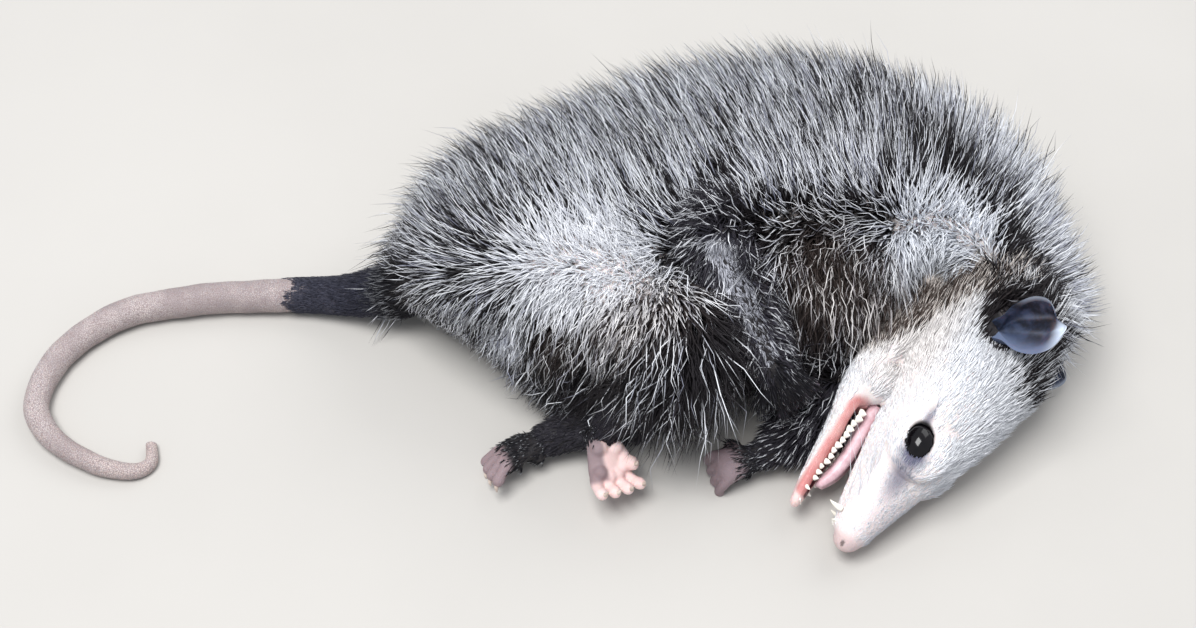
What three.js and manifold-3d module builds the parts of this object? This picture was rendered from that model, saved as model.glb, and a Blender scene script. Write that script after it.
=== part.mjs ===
// A Virginia opossum, life size, lying on its left side and playing dead, with its mouth open.
// Millimetres, +Z up. The floor is z = 0, the animal's back faces +Y and its tail runs to -X.
import * as THREE from "three";
import { ParametricGeometry } from "three/addons/geometries/ParametricGeometry.js";
import { mergeVertices } from "three/addons/utils/BufferGeometryUtils.js";
import Module from "manifold-3d";

const wasm = await Module();
wasm.setup();

// Driving dimensions.
const GAP = 0.3; // between two pieces that touch
// Depths over the skin at the back, belly, right and left.
const COAT = [30, 16, 20, 16]; // out to the tips of the long coat
const CORE = [11, 6, 8, 6]; // dense underfur that the locks grow from
const NO_COAT = [0, 0, 0, 0];
// Locks of the coat: flat blades that bend from their roots into the lie.
const LOCK = {
  spacing: 19, // between roots, along the body and round it
  long: [26, 32, 40, 30], // at the back, belly, right and left
  wide: 19,
  thick: 3,
  sunk: 5,
  clear: 1, // least distance from a lock to another piece
  low: 13, // least height of a root over the floor
  widths: [0.6, 1, 0.75], // shares of the full width at the root and along the lock
  steps: [0.32, 0.36, 0.32], // shares of the length from the surface to the tip
  bends: [1.3, 1, 0.7], // shares of the lift along those steps
};
// Ways to bring a lock clear: more lift, and a share of its length.
const LOCK_TRIES = [
  [0, 1],
  [0.25, 1],
  [0.5, 0.9],
  [0, 0.7],
  [0.5, 0.7],
  [0.8, 0.7],
  [0.3, 0.5],
];
const EYE_RADIUS = 6.8;
const FLOOR_SIZE = 900;
const UP = new THREE.Vector3(0, 0, 1);

// Colours and finishes.
const look = (color, roughness) =>
  new THREE.MeshStandardMaterial({ color, roughness, metalness: 0 });
const LOOKS = {
  grey_fur: look(0x77767a, 0.9),
  white_fur: look(0xe6e2dc, 0.85),
  black_fur: look(0x1f1d20, 0.85),
  pink_skin: look(0xd9a9a2, 0.6),
  ear_skin: look(0x20222b, 0.5),
  tail_skin: look(0xa59a98, 0.65),
  eye: look(0x0b0a0c, 0.08),
};

// Trunk and neck, from the root of the tail to the back of the head, as the skin lies under the coat.
// Each row: x, y, z of the centre, the half depth towards back, belly, right side and left side,
// and the share of the coat's full depth.
const SPINE = [
  [-82, -2, 23, 8, 8, 8, 12, 0.2],
  [-66, -4, 31, 17, 18, 17, 27, 0.5],
  [-46, -6, 39, 28, 30, 28, 38, 0.85],
  [-18, -6, 45, 38, 42, 36, 45, 1],
  [14, -2, 48, 45, 47, 38, 48, 1],
  [46, 4, 49, 51, 48, 39, 49, 1],
  [78, 10, 49, 52, 46, 38, 49, 1],
  [104, 14, 48, 46, 42, 36, 48, 1],
  [126, 12, 47, 38, 36, 33, 47, 1],
  [143, 4, 45, 30, 17, 30, 45, 0.95],
  [156, -9, 43, 25, 9, 28, 43, 0.9],
  [163, -22, 41, 23, 8, 27, 41, 0.85],
  [164, -34, 38, 22, 8, 26, 38, 0.8],
];
const NECK_START = 8; // the row where the trunk ends and the neck starts

// Head frame: x forward to the nose, y towards the crown, z to the right side of the head.
const OCCIPUT = new THREE.Vector3(171, -25, 41);
const NOSE = new THREE.Vector3(99, -122, 11);
const FORWARD = NOSE.clone().sub(OCCIPUT).normalize();
const RIGHT = UP.clone().addScaledVector(FORWARD, -UP.dot(FORWARD)).normalize();
const CROWN = RIGHT.clone().cross(FORWARD);
const HEAD_FRAME = new THREE.Matrix4()
  .makeBasis(FORWARD, CROWN, RIGHT)
  .setPosition(OCCIPUT);
// Skull and muzzle. Each row: forward, crown and right of the centre,
// then the half depth towards crown, throat, right and left.
const SKULL = [
  [2, 0, 0, 24, 27, 26, 30],
  [18, 0, 0, 26, 29, 28.5, 32],
  [34, 0, 0, 27, 29, 30, 33],
  [50, 0, 0, 26, 27, 29, 31],
  [64, 0, 0, 23, 23.5, 24, 25],
  [77, 0, 0, 19, 21.5, 17.5, 18],
  [92, -1, 0, 14.5, 18, 12.5, 12.5],
  [107, -1.5, 0, 10.5, 14, 10, 10],
  [119.5, -1.5, 0, 7.5, 10, 8, 8],
];
// Lower jaw and throat, the same way.
const JAW = [
  [22, -22, 0, 12, 17, 21, 25],
  [40, -26, 0, 12, 17, 21, 25],
  [56, -30, 0, 9, 13, 18, 20],
  [70, -31, 0, 7, 9.5, 14, 14],
  [86, -30.5, 0, 5, 6, 10, 10],
  [102, -29.5, 0, 3.6, 4.4, 7.6, 7.6],
  [114, -28.6, 0, 2.8, 3.4, 5.6, 5.6],
  [120, -28.2, 0, 2, 2.4, 3.6, 3.6],
];
const NECK_CUT = 9; // forward place of the cut between head and neck
const JAW_CUT = 66; // forward place of the cut between head and jaw
const EYE_PLACE = [75.5, 2.5, 14.3];

const SIDES = [1, -1]; // right and left
const LID_RING = {
  radius: 6.2,
  tube: 1.8,
  long: 1.16,
  high: 0.84,
  out: 3.4,
  up: -0.12,
  ahead: 0.22,
};
// Roof and floor of the open mouth, and the tongue, in the head frame.
const PALATE = [
  [60, -24, 0, 5, 6, 9, 9],
  [76, -23, 0, 4.5, 6, 9, 9],
  [92, -20, 0, 4, 5, 7, 7],
  [108, -17, 0, 3, 5, 4.6, 4.6],
];
const MOUTH_FLOOR = [
  [68, -24, 0, 6, 4.5, 9, 9],
  [82, -24.5, 0, 5, 3.8, 7, 7],
  [98, -25, 0, 4, 3.4, 4.6, 4.6],
  [112, -25.6, 0, 3, 2.6, 2.6, 2.6],
];
const TONGUE = [
  [69, -26, 0, 4.5, 5, 7.5, 7.5],
  [84, -26.5, 0, 4.5, 5, 6.3, 6.3],
  [100, -27, 0, 3.6, 4.5, 4.4, 4.4],
  [110, -27.5, 0, 2.6, 3, 2.4, 2.4],
];
const TEETH = {
  count: 7, // on each side
  back: 79,
  front: 107,
  root: -26.2,
  high: 4.6,
  wide: 9.6,
  narrow: 5.4,
  radius: 2,
};
const UPPER_CANINE = { foot: [111, -11, 6.4], tip: [110, -19.5, 8], radius: 2.1 };
const LOWER_CANINE = { foot: [112, -27.5, 4.2], tip: [112.8, -20.5, 5], radius: 1.5 };
const NOSE_PAD = { centre: [121.5, -1.4, 0], radii: [5.2, 5.6, 6.2] };
const NOSTRIL = { centre: [125.2, -0.2, 3.4], radii: [1.9, 1.5, 1.6] };
// Each leg: rows of its centre and radius from the body out, and how its paw lies.
const vec = (...p) => new THREE.Vector3(...p);
const LEGS = {
  foreleg_left: {
    rows: [
      [112, -6, 20, 14],
      [106, -30, 17, 13],
      [98, -50, 15, 11.5],
      [88, -63, 13.5, 9.5],
      [75, -74, 12, 8],
      [63, -80, 11, 7],
    ],
    side: vec(0, 0, 1),
    look: LOOKS.black_fur,
    pawName: "forepaw_left",
    paw: { ahead: vec(-0.95, -0.3, -0.05), back: vec(-0.1, -0.25, 1), size: 1, curl: 1.7, thumb: 1 },
  },
  foreleg_right: {
    rows: [
      [116, 4, 68, 15],
      [98, -1, 72, 14],
      [74, -8, 80, 12.5],
      [52, -18, 86, 11.5],
      [50, -28, 82, 10.5],
      [58, -43, 71, 9],
      [67, -56, 56, 7.5],
      [72, -62, 48, 6.6],
    ],
    side: vec(-1, 0, 0),
    look: LOOKS.black_fur,
    pawName: "forepaw_right",
    paw: { ahead: vec(0.55, -0.3, -0.75), back: vec(0.3, -0.8, 0.5), size: 1, curl: 1.3, thumb: 1 },
  },
  hindleg_left: {
    rows: [
      [-22, -22, 24, 22],
      [0, -42, 20, 18],
      [15, -56, 17, 14],
      [6, -63, 15, 12],
      [-10, -67, 12.5, 9.5],
      [-24, -72, 10.5, 7.8],
    ],
    side: vec(0, 0, 1),
    look: LOOKS.black_fur,
    pawName: "hindfoot_left",
    paw: {
      ahead: vec(-0.93, -0.38, -0.04),
      back: vec(-0.2, 0.5, 0.8),
      size: 1.15,
      curl: 1.1,
      thumb: 0.9,
    },
  },
  hindleg_right: {
    rows: [
      [-22, -14, 58, 26],
      [0, -30, 62, 22],
      [22, -46, 65, 17.5],
      [34, -54, 61, 14.5],
      [28, -62, 51, 12.5],
      [16, -68, 38, 10.5],
      [5, -73, 27, 8.5],
      [1, -77, 21, 7.2],
    ],
    side: vec(0, 0, 1),
    look: LOOKS.grey_fur,
    locks: {
      from: 1.6,
      to: 4.6,
      angles: [0, 2 * Math.PI],
      core: NO_COAT,
      coat: [9, 9, 9, 9],
      flow: 0,
      size: 0.75,
    },
    pawName: "hindfoot_right",
    paw: { ahead: vec(0.22, -0.8, -0.55), back: vec(-0.55, 0.5, -0.65), size: 1.15, curl: 0.9, thumb: 0.5 },
  },
};
// Palm: distance ahead of the wrist, half thickness and half width.
// The sizes of a paw are multiples of these.
const PALM = [
  [-3, 4, 5.4],
  [5.5, 4.2, 6.6],
  [11.5, 3.8, 7.6],
  [14.5, 2.4, 5.4],
];
const DIGITS = { count: 4, ahead: 12, pitch: 3.6, fan: 0.28, thumb_ahead: 4, thumb_out: 5.5 };
// Digit: step from the last row and radius, from the knuckle to the tip of the claw.
const DIGIT = [
  [-1.5, 2.4],
  [4, 2.5],
  [3.6, 2.3],
  [3.2, 2.2],
  [2, 1.3],
  [2.6, 0.5],
];
// Ears in the head frame: root, direction of the tip and of the open side.
const EARS = {
  ear_right: {
    root: [20, 8, 25],
    ahead: [-0.27, 0.72, 0.64],
    open: [0.35, -0.25, 0.9],
    size: 0.94,
  },
  ear_left: {
    root: [18, 10, -22],
    ahead: [-0.75, 0.6, -0.25],
    open: [0.4, 0.1, -0.9],
    size: 0.8,
  },
};
// Ear: distance from the root, half width, half angle of the roll, thickness and depth of the back.
const EAR = [
  [-3, 6.5, 2.5, 6.4, 5],
  [4, 8, 2.2, 2.4, 6],
  [11, 12, 1.7, 1.6, 8],
  [20, 14.5, 1.4, 1.4, 8],
  [28, 12.5, 1.2, 1.3, 6],
  [34, 7, 0.9, 1.2, 3],
  [37, 2.4, 0.7, 1.1, 2],
];
const EAR_FACETS = { sides: 16, rings: 9 };
// Tail: rows of its centre and radius from the root to the tip.
const TAIL = [
  [-72, -3.4, 26, 12],
  [-88, -1, 19, 10],
  [-110, 2, 11.5, 8.4],
  [-135, 4.5, 7.8, 7.5],
  [-174, 3, 6.6, 6.9],
  [-208, -5, 6, 6.4],
  [-230, -25, 5.6, 5.9],
  [-237, -49, 5.1, 5.4],
  [-228, -66, 4.6, 4.9],
  [-209, -78, 3.9, 4.2],
  [-193, -81.5, 3.2, 3.5],
  [-185.5, -77.5, 2.6, 2.8],
  [-186.5, -68, 2.1, 2.2],
];
const TAIL_LENGTHS = [
  ["tail_base", 0, 3, LOOKS.black_fur],
  ["tail_middle", 3, 7, LOOKS.tail_skin],
  ["tail_end", 7, 12, LOOKS.tail_skin],
];
const TAIL_RINGS = 3.5; // rings to a row of the table

// Places between the rows of a table, by a Catmull-Rom curve in every column.
function along(rows, place) {
  const last = rows.length - 1;
  const i = Math.min(Math.max(Math.floor(place), 0), last - 1);
  const u = place - i;
  const row = (k) => rows[Math.min(Math.max(k, 0), last)];
  return rows[0].map((_, c) => {
    const [a, b, d, e] = [row(i - 1)[c], row(i)[c], row(i + 1)[c], row(i + 2)[c]];
    return (
      b +
      0.5 * u * (d - a + u * (2 * a - 5 * b + 4 * d - e + u * (3 * (b - d) + e - a)))
    );
  });
}

// A body is a table of rows with an axis. It gives the frame and the surface at any place of the table.
class Body {
  constructor(rows, side = UP) {
    // A row with one half depth is round.
    this.rows = rows.map((r) => (r.length === 4 ? [...r, r[3], r[3], r[3]] : r));
    this.side = side;
    this.end = rows.length - 1;
  }
  centre(place) {
    return new THREE.Vector3(...along(this.rows, place));
  }
  frame(place) {
    const step = 0.02;
    const ahead = this.centre(place + step).sub(this.centre(place - step));
    const speed = ahead.length() / (2 * step);
    ahead.normalize();
    const right = this.side.clone().addScaledVector(ahead, -this.side.dot(ahead));
    right.normalize();
    return { ahead, right, back: right.clone().cross(ahead), speed };
  }
  // The share of the coat's full depth.
  share(place) {
    return along(this.rows, place)[7] ?? 1;
  }
  // The half depths towards back, belly, right and left, with a coat and a gap over them.
  depths(place, coat, gap) {
    const row = along(this.rows, place);
    const share = this.share(place);
    return coat.map((deep, k) => row[3 + k] + deep * share + gap);
  }
  // The point at an angle that runs from the back, over the right side, to the belly and the left side.
  point(place, angle, coat = NO_COAT, gap = 0) {
    const half = this.depths(place, coat, gap);
    const { right, back } = this.frame(place);
    const c = Math.cos(angle);
    const s = Math.sin(angle);
    return this.centre(place)
      .addScaledVector(back, c * half[c > 0 ? 0 : 1])
      .addScaledVector(right, s * half[s > 0 ? 2 : 3]);
  }
  // The direction straight out of the surface.
  normal(place, angle, coat) {
    const step = 0.05;
    const point = this.point(place, angle, coat);
    const round = this.point(place, angle + step, coat).sub(point);
    const ahead = this.point(place + step, angle, coat).sub(point);
    return round.cross(ahead).normalize();
  }
  // The closed surface between two places, with a flat or bulging end at each.
  // A gap widens it all round and lengthens it at both ends.
  solid({ from = 0, to = this.end, sides, rings, coat, gap = 0, bulge = [0, 0] }) {
    const stacks = rings + 1;
    const surface = (u, v, target) => {
      const ring = Math.round(v * stacks);
      const share = Math.min(Math.max((ring - 1) / (rings - 1), 0), 1);
      const place = from + (to - from) * share;
      const isPole = ring === 0 || ring === stacks;
      const longer = (share === 1) - (share === 0);
      const out = longer * (gap + (isPole ? bulge[share] : 0));
      target
        .copy(isPole ? this.centre(place) : this.point(place, 2 * Math.PI * u, coat, gap))
        .addScaledVector(this.frame(place).ahead, out);
    };
    return solidOf(new ParametricGeometry(surface, sides, stacks));
  }
}

// A closed geometry as a solid, facing out.
function solidOf(geometry, matrix) {
  const bare = new THREE.BufferGeometry();
  bare.setAttribute("position", geometry.getAttribute("position"));
  bare.setIndex(geometry.index);
  if (matrix) bare.applyMatrix4(matrix);
  const merged = mergeVertices(bare, 1e-4);
  const all = merged.index.array;
  const triangles = [];
  for (let i = 0; i < all.length; i += 3) {
    const [a, b, c] = [all[i], all[i + 1], all[i + 2]];
    if (a !== b && b !== c && c !== a) triangles.push(a, b, c);
  }
  const build = (order) =>
    new wasm.Manifold(
      new wasm.Mesh({
        numProp: 3,
        vertProperties: new Float32Array(merged.attributes.position.array),
        triVerts: new Uint32Array(order),
      }),
    );
  const made = build(triangles);
  return made.volume() > 0 ? made : build(triangles.reverse());
}

const fuse = (solids) => wasm.Manifold.union(solids);

// A solid made wider by the gap to every side.
const widened = (solid) =>
  fuse([
    solid,
    ...[0, 1, 2].flatMap((axis) =>
      [GAP, -GAP].map((step) => solid.translate([0, 1, 2].map((k) => (k === axis ? step : 0)))),
    ),
  ]);

// The largest closed surface of a solid, as one body with no scraps and no sealed hollows.
function largest(solid) {
  const bodies = solid.decompose();
  return bodies.reduce((a, b) => (b.volume() > a.volume() ? b : a));
}

function ball(centre, radii, segments = [12, 8]) {
  const geometry = new THREE.SphereGeometry(1, ...segments);
  const matrix = new THREE.Matrix4().makeScale(...radii).setPosition(...centre);
  return solidOf(geometry, matrix);
}

// A pointed tooth from a foot to a tip.
function tooth(foot, tip, radius) {
  const up = vec(...tip).sub(vec(...foot));
  const cone = new THREE.ConeGeometry(radius, up.length(), 6);
  const turn = new THREE.Quaternion().setFromUnitVectors(vec(0, 1, 0), up.clone().normalize());
  const centre = vec(...foot).addScaledVector(up, 0.5);
  return solidOf(cone, new THREE.Matrix4().compose(centre, turn, vec(1, 1, 1)));
}

// The place in the jaw's table that lies a little way from the cut between head and jaw.
function jawCut(offset) {
  const row = JAW.findIndex((r) => r[0] > JAW_CUT) - 1;
  return row + (JAW_CUT + offset - JAW[row][0]) / (JAW[row + 1][0] - JAW[row][0]);
}

// One ear in the head frame: a thin curved leaf, rolled into a cup at its root.
function earShape({ root, ahead, open, size }, gap = 0) {
  const axis = vec(...ahead).normalize();
  const front = vec(...open).projectOnPlane(axis).normalize();
  const wide = axis.clone().cross(front);
  const { sides, rings } = EAR_FACETS;
  const half = sides / 2;
  const stacks = rings + 1;
  const surface = (u, v, target) => {
    const ring = Math.round(v * stacks);
    const share = Math.min(Math.max((ring - 1) / (rings - 1), 0), 1);
    const row = along(EAR, share * (EAR.length - 1));
    const [reach, halfWide, hollow] = [row[0] * size, row[1] * size, row[4] * size];
    const [roll, thick] = [row[2], row[3]];
    const arc = halfWide / Math.sin(Math.min(roll, Math.PI / 2)) + gap;
    const k = Math.round(u * sides) % sides;
    const outer = k < half;
    const step = outer ? k / (half - 1) : (sides - 1 - k) / (half - 1);
    const angle = (2 * step - 1) * (roll + gap / arc);
    const radius = outer ? arc : arc - Math.min(thick + 2 * gap, arc * 0.98);
    target.copy(vec(...root)).addScaledVector(axis, reach + (ring === 0 ? -gap : 0));
    if (ring === 0 || ring === stacks) {
      target.addScaledVector(front, ring ? -hollow + 0.5 * thick : arc - hollow);
    } else {
      target.addScaledVector(wide, radius * Math.sin(angle));
      target.addScaledVector(front, arc - hollow - radius * Math.cos(angle));
    }
  };
  return solidOf(new ParametricGeometry(surface, sides, stacks));
}

// A paw: a palm and five curled digits, each tapering into its claw.
function pawShape(root, { ahead, back, size, curl, thumb }, gap = 0) {
  const forth = ahead.clone().normalize();
  const up = back.clone().projectOnPlane(forth).normalize();
  const across = forth.clone().cross(up);
  const at = (x, y, z) =>
    root
      .clone()
      .addScaledVector(forth, x * size)
      .addScaledVector(across, y * size)
      .addScaledVector(up, z * size)
      .toArray();
  const palmRows = PALM.map(([x, thick, wide]) => {
    const [t, w] = [thick * size, wide * size];
    return [...at(x, 0, 0), t, t, w, w];
  });
  const pieces = [new Body(palmRows, across).solid({ sides: 8, rings: 5, gap, bulge: [2, 1.5] })];
  const addDigit = (x, y, turn, stout) => {
    let z = 0;
    const rows = DIGIT.map(([step, radius], j) => {
      const bend = (curl * j) / (DIGIT.length - 1);
      x += step * Math.cos(bend) * Math.cos(turn);
      y += step * Math.cos(bend) * Math.sin(turn);
      z -= step * Math.sin(bend);
      return [...at(x, y, z), radius * size * stout];
    });
    const side = up.clone().addScaledVector(across, 0.3);
    pieces.push(new Body(rows, side).solid({ sides: 5, rings: 6, gap, bulge: [0.5, 0.6] }));
  };
  const { count, ahead: knuckles, pitch, fan } = DIGITS;
  for (let k = 0; k < count; k++) {
    const off = k - (count - 1) / 2;
    addDigit(knuckles, off * pitch, off * fan, 1);
  }
  addDigit(DIGITS.thumb_ahead, DIGITS.thumb_out, thumb, 1.15);
  return fuse(pieces);
}

// A flat tapered blade along a path, with a diamond section.
function blade(path, across, wide, thick) {
  const last = path.length - 1;
  const surface = (u, v, target) => {
    const ring = Math.round(v * (last + 1));
    const k = Math.min(Math.max(ring - 1, 0), last);
    target.copy(ring > last ? path[last] : path[k]);
    if (ring === 0 || ring > last) return;
    const way = path[k + 1].clone().sub(path[Math.max(k - 1, 0)]).normalize();
    const flat = across.clone().projectOnPlane(way).normalize();
    const quarter = (Math.round(u * 4) % 4) * (Math.PI / 2);
    const share = LOCK.widths[k] / 2;
    target.addScaledVector(flat, Math.cos(quarter) * wide * share);
    target.addScaledVector(way.cross(flat), Math.sin(quarter) * thick * share);
  };
  return solidOf(new ParametricGeometry(surface, 4, last + 1));
}

// A random number from 0 to 1 that is the same in every run.
let seed = 7;
function random() {
  seed = (seed * 16807) % 2147483647;
  return seed / 2147483647;
}

// The blend of four values, given at back, belly, right and left, at an angle round a body.
function blend(values, angle) {
  const c = Math.cos(angle);
  const s = Math.sin(angle);
  return c * c * values[c > 0 ? 0 : 1] + s * s * values[s > 0 ? 2 : 3];
}

// Locks on a body between two places and two angles, kept clear of other pieces.
function locksOn(body, { from, to, angles, core, coat, flow, size = 1, obstacles }) {
  const locks = [];
  let place = from;
  for (let row = 0; place < to; row++) {
    const { speed } = body.frame(place);
    const round = body.depths(place, core, 0).reduce((a, b) => a + b) / 4;
    const step = (LOCK.spacing * size) / round;
    for (let angle = angles[0] + (row % 2) * 0.5 * step; angle < angles[1]; angle += step) {
      const at = place + ((random() - 0.5) * 0.4 * LOCK.spacing * size) / speed;
      const turn = angle + (random() - 0.5) * 0.4 * step;
      const root = body.point(at, turn, core);
      const out = body.normal(at, turn, core);
      const lie = body
        .frame(at)
        .ahead.multiplyScalar(-1)
        .projectOnPlane(out)
        .normalize()
        .applyAxisAngle(out, flow * Math.sin(turn) + (random() - 0.5) * 0.4);
      const share = body.share(at);
      const rise = (blend(coat, turn) - blend(core, turn)) * share;
      const long = blend(LOCK.long, turn) * size * (0.5 + 0.5 * share) * (0.88 + 0.24 * random());
      const lift = Math.asin(Math.min(rise / long, 0.9));
      if (root.z < LOCK.low) continue;
      const lock = bentLock({ root, out, lie, long, lift, wide: LOCK.wide * size, obstacles });
      if (lock) locks.push(lock);
    }
    place += (0.87 * LOCK.spacing * size) / speed;
  }
  return locks;
}

// One lock, lifted or shortened until it is clear of other pieces, or nothing.
function bentLock({ root, out, lie, long, lift, wide, obstacles }) {
  const across = lie.clone().cross(out);
  for (const [more, shorter] of LOCK_TRIES) {
    const path = [root.clone().addScaledVector(out, -LOCK.sunk)];
    let point = root;
    LOCK.steps.forEach((share, k) => {
      const angle = Math.min(lift * LOCK.bends[k] + more, 1.5);
      point = point
        .clone()
        .addScaledVector(out, share * long * shorter * Math.sin(angle))
        .addScaledVector(lie, share * long * shorter * Math.cos(angle));
      point.z = Math.max(point.z, LOCK.thick);
      path.push(point);
    });
    const lock = blade(path, across, wide, LOCK.thick);
    if (lock.intersect(obstacles).isEmpty()) return lock;
  }
  return null;
}

// All that lies under the floor, in the body's frame and in the head's.
const slab = new THREE.BoxGeometry(FLOOR_SIZE, FLOOR_SIZE, FLOOR_SIZE);
const BELOW = solidOf(
  slab,
  new THREE.Matrix4().makeTranslation(0, 0, -FLOOR_SIZE / 2),
);
const headInverse = HEAD_FRAME.clone().invert();
const moved = (solid, matrix) => solid.transform(matrix.elements);
const BELOW_HEAD = moved(BELOW, headInverse);

const spine = new Body(SPINE);
const palate = new Body(PALATE);
const mouthFloor = new Body(MOUTH_FLOOR);
const tongue = new Body(TONGUE);
const skull = new Body(SKULL);
const jaw = new Body(JAW);

const opossum = new THREE.Group();
const headGroup = new THREE.Group();
headGroup.applyMatrix4(HEAD_FRAME);
opossum.add(headGroup);

// Adds a solid to a group as a named mesh that turns about its own anchor.
function place(group, name, solid, material, anchor = [0, 0, 0]) {
  const { vertProperties, triVerts } = solid.getMesh();
  const geometry = new THREE.BufferGeometry();
  geometry.setAttribute("position", new THREE.BufferAttribute(vertProperties, 3));
  geometry.setIndex(new THREE.BufferAttribute(triVerts, 1));
  geometry.translate(-anchor[0], -anchor[1], -anchor[2]);
  const mesh = new THREE.Mesh(geometry, material);
  mesh.name = name;
  mesh.position.set(...anchor);
  group.add(mesh);
}

// Head: skull, nose pad, lids and the roof of the mouth.
const headBack = 1 + (NECK_CUT - SKULL[1][0]) / (SKULL[1][0] - SKULL[0][0]);
const skullShape = (gap = 0) =>
  skull.solid({ from: headBack, sides: 16, rings: 15, gap, bulge: [0, 4] });
const throatShape = (gap = 0) =>
  jaw.solid({ to: jawCut(0), sides: 14, rings: 6, gap, bulge: [4, 0] });
const lidRing = (side) =>
  solidOf(
    new THREE.TorusGeometry(LID_RING.radius, LID_RING.tube, 5, 14),
    new THREE.Matrix4()
      .makeRotationFromEuler(new THREE.Euler(LID_RING.up, side * LID_RING.ahead, 0))
      .scale(new THREE.Vector3(LID_RING.long, LID_RING.high, 1))
      .setPosition(EYE_PLACE[0], EYE_PLACE[1], side * (EYE_PLACE[2] + LID_RING.out)),
  );
const eyeball = (side, grow) => {
  const radius = EYE_RADIUS + grow;
  const [x, y, z] = EYE_PLACE;
  return ball([x, y, side * z], [radius, radius, radius], [12, 8]);
};
const mirrored = ([x, y, z], side) => [x, y, side * z];
const nostril = (side) => ball(mirrored(NOSTRIL.centre, side), NOSTRIL.radii, [6, 4]);
const canine = ({ foot, tip, radius }, side) =>
  tooth(mirrored(foot, side), mirrored(tip, side), radius);
const headShape = fuse([
  skullShape(),
  throatShape(),
  ball(NOSE_PAD.centre, NOSE_PAD.radii, [10, 7]),
  ...SIDES.map(lidRing),
])
  .subtract(palate.solid({ sides: 10, rings: 6, bulge: [3, 2] }))
  .subtract(fuse(SIDES.map((side) => eyeball(side, GAP))))
  .subtract(fuse(SIDES.map(nostril)))
  .add(fuse(SIDES.map((side) => canine(UPPER_CANINE, side))))
  .subtract(BELOW_HEAD);
place(headGroup, "head", largest(headShape), LOOKS.white_fur);
for (const side of SIDES) {
  const name = side > 0 ? "eye_right" : "eye_left";
  place(headGroup, name, eyeball(side, 0), LOOKS.eye);
}

// Lower jaw with its lip, its teeth and the tongue.
const floorOfMouth = (gap) =>
  mouthFloor.solid({ sides: 10, rings: 7, gap, bulge: [2, 2] });
const lowerTeeth = [];
for (const side of SIDES) {
  for (let k = 0; k < TEETH.count; k++) {
    const share = k / (TEETH.count - 1);
    const foot = [
      TEETH.back + share * (TEETH.front - TEETH.back),
      TEETH.root,
      side * (TEETH.wide + share * (TEETH.narrow - TEETH.wide)),
    ];
    const high = TEETH.high * (k % 2 ? 0.85 : 1);
    lowerTeeth.push(tooth(foot, [foot[0], foot[1] + high, foot[2] + side * 0.3], TEETH.radius));
  }
  lowerTeeth.push(canine(LOWER_CANINE, side));
}
const jawShape = jaw
  .solid({ from: jawCut(GAP), sides: 14, rings: 10, bulge: [0, 2] })
  .subtract(floorOfMouth(0))
  .add(fuse(lowerTeeth))
  .subtract(skullShape(GAP))
  .subtract(BELOW_HEAD);
place(headGroup, "lower_jaw", largest(jawShape), LOOKS.pink_skin);
const tongueShape = floorOfMouth(-GAP)
  .intersect(tongue.solid({ sides: 10, rings: 8, bulge: [1, 1.5] }))
  .subtract(skullShape(GAP));
place(headGroup, "tongue", largest(tongueShape), LOOKS.pink_skin);

// Ears.
const besideEars = fuse([skullShape(GAP), throatShape(GAP), BELOW_HEAD]);
for (const [name, ear] of Object.entries(EARS)) {
  place(headGroup, name, largest(earShape(ear).subtract(besideEars)), LOOKS.ear_skin);
}

// All that the trunk and the neck have to keep clear of.
const headInBody = (gap) =>
  moved(
    fuse([
      skullShape(gap),
      jaw.solid({ sides: 14, rings: 12, gap, bulge: [4, 2] }),
      ...Object.values(EARS).map((ear) => earShape(ear, gap)),
    ]),
    HEAD_FRAME,
  );
const headAndFloor = fuse([headInBody(GAP), BELOW]);
const tail = new Body(TAIL);
const limbs = Object.values(LEGS).map(({ rows, side }) => new Body(rows, side));
const limbShape = (limb, gap = 0) =>
  limb.solid({ sides: 10, rings: 2 * limb.end + 1, gap, bulge: [3, 0] });
const paws = Object.values(LEGS).map((leg) => (gap = 0) =>
  pawShape(vec(...leg.rows.at(-1)), leg.paw, gap),
);

// Trunk and neck, each a core with its locks.
const trunkCore = spine.solid({ to: NECK_START, sides: 20, rings: 15, coat: CORE, bulge: [4, 0] });
const neckCore = spine.solid({ from: NECK_START, sides: 16, rings: 8, coat: CORE, bulge: [0, 3] });
const cores = widened(fuse([trunkCore, neckCore]));
const obstacles = fuse([
  headInBody(LOCK.clear),
  tail.solid({ sides: 10, rings: 30, gap: LOCK.clear }),
  ...limbs.map((limb) => limbShape(limb, LOCK.clear)),
  ...paws.map((paw) => paw(LOCK.clear)),
]).subtract(fuse([trunkCore, neckCore]));
const onSpine = { core: CORE, coat: COAT, obstacles };
const trunkLocks = locksOn(spine, {
  ...onSpine,
  from: 0.4,
  to: NECK_START - 0.35,
  angles: [-0.8, 3.7],
  flow: 0.8,
});
const neckLocks = locksOn(spine, {
  ...onSpine,
  from: NECK_START + 0.5,
  to: spine.end,
  angles: [-0.8, 2],
  flow: 0.5,
  size: 0.9,
});
const neck = largest(fuse([neckCore, ...neckLocks]).subtract(headAndFloor));
const besideTrunk = fuse([headAndFloor, widened(neckCore), widened(fuse(neckLocks))]);
const torso = largest(fuse([trunkCore, ...trunkLocks]).subtract(besideTrunk));
place(opossum, "torso", torso, LOOKS.grey_fur, SPINE[4].slice(0, 3));
place(opossum, "neck", neck, LOOKS.grey_fur, SPINE[9].slice(0, 3));

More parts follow.
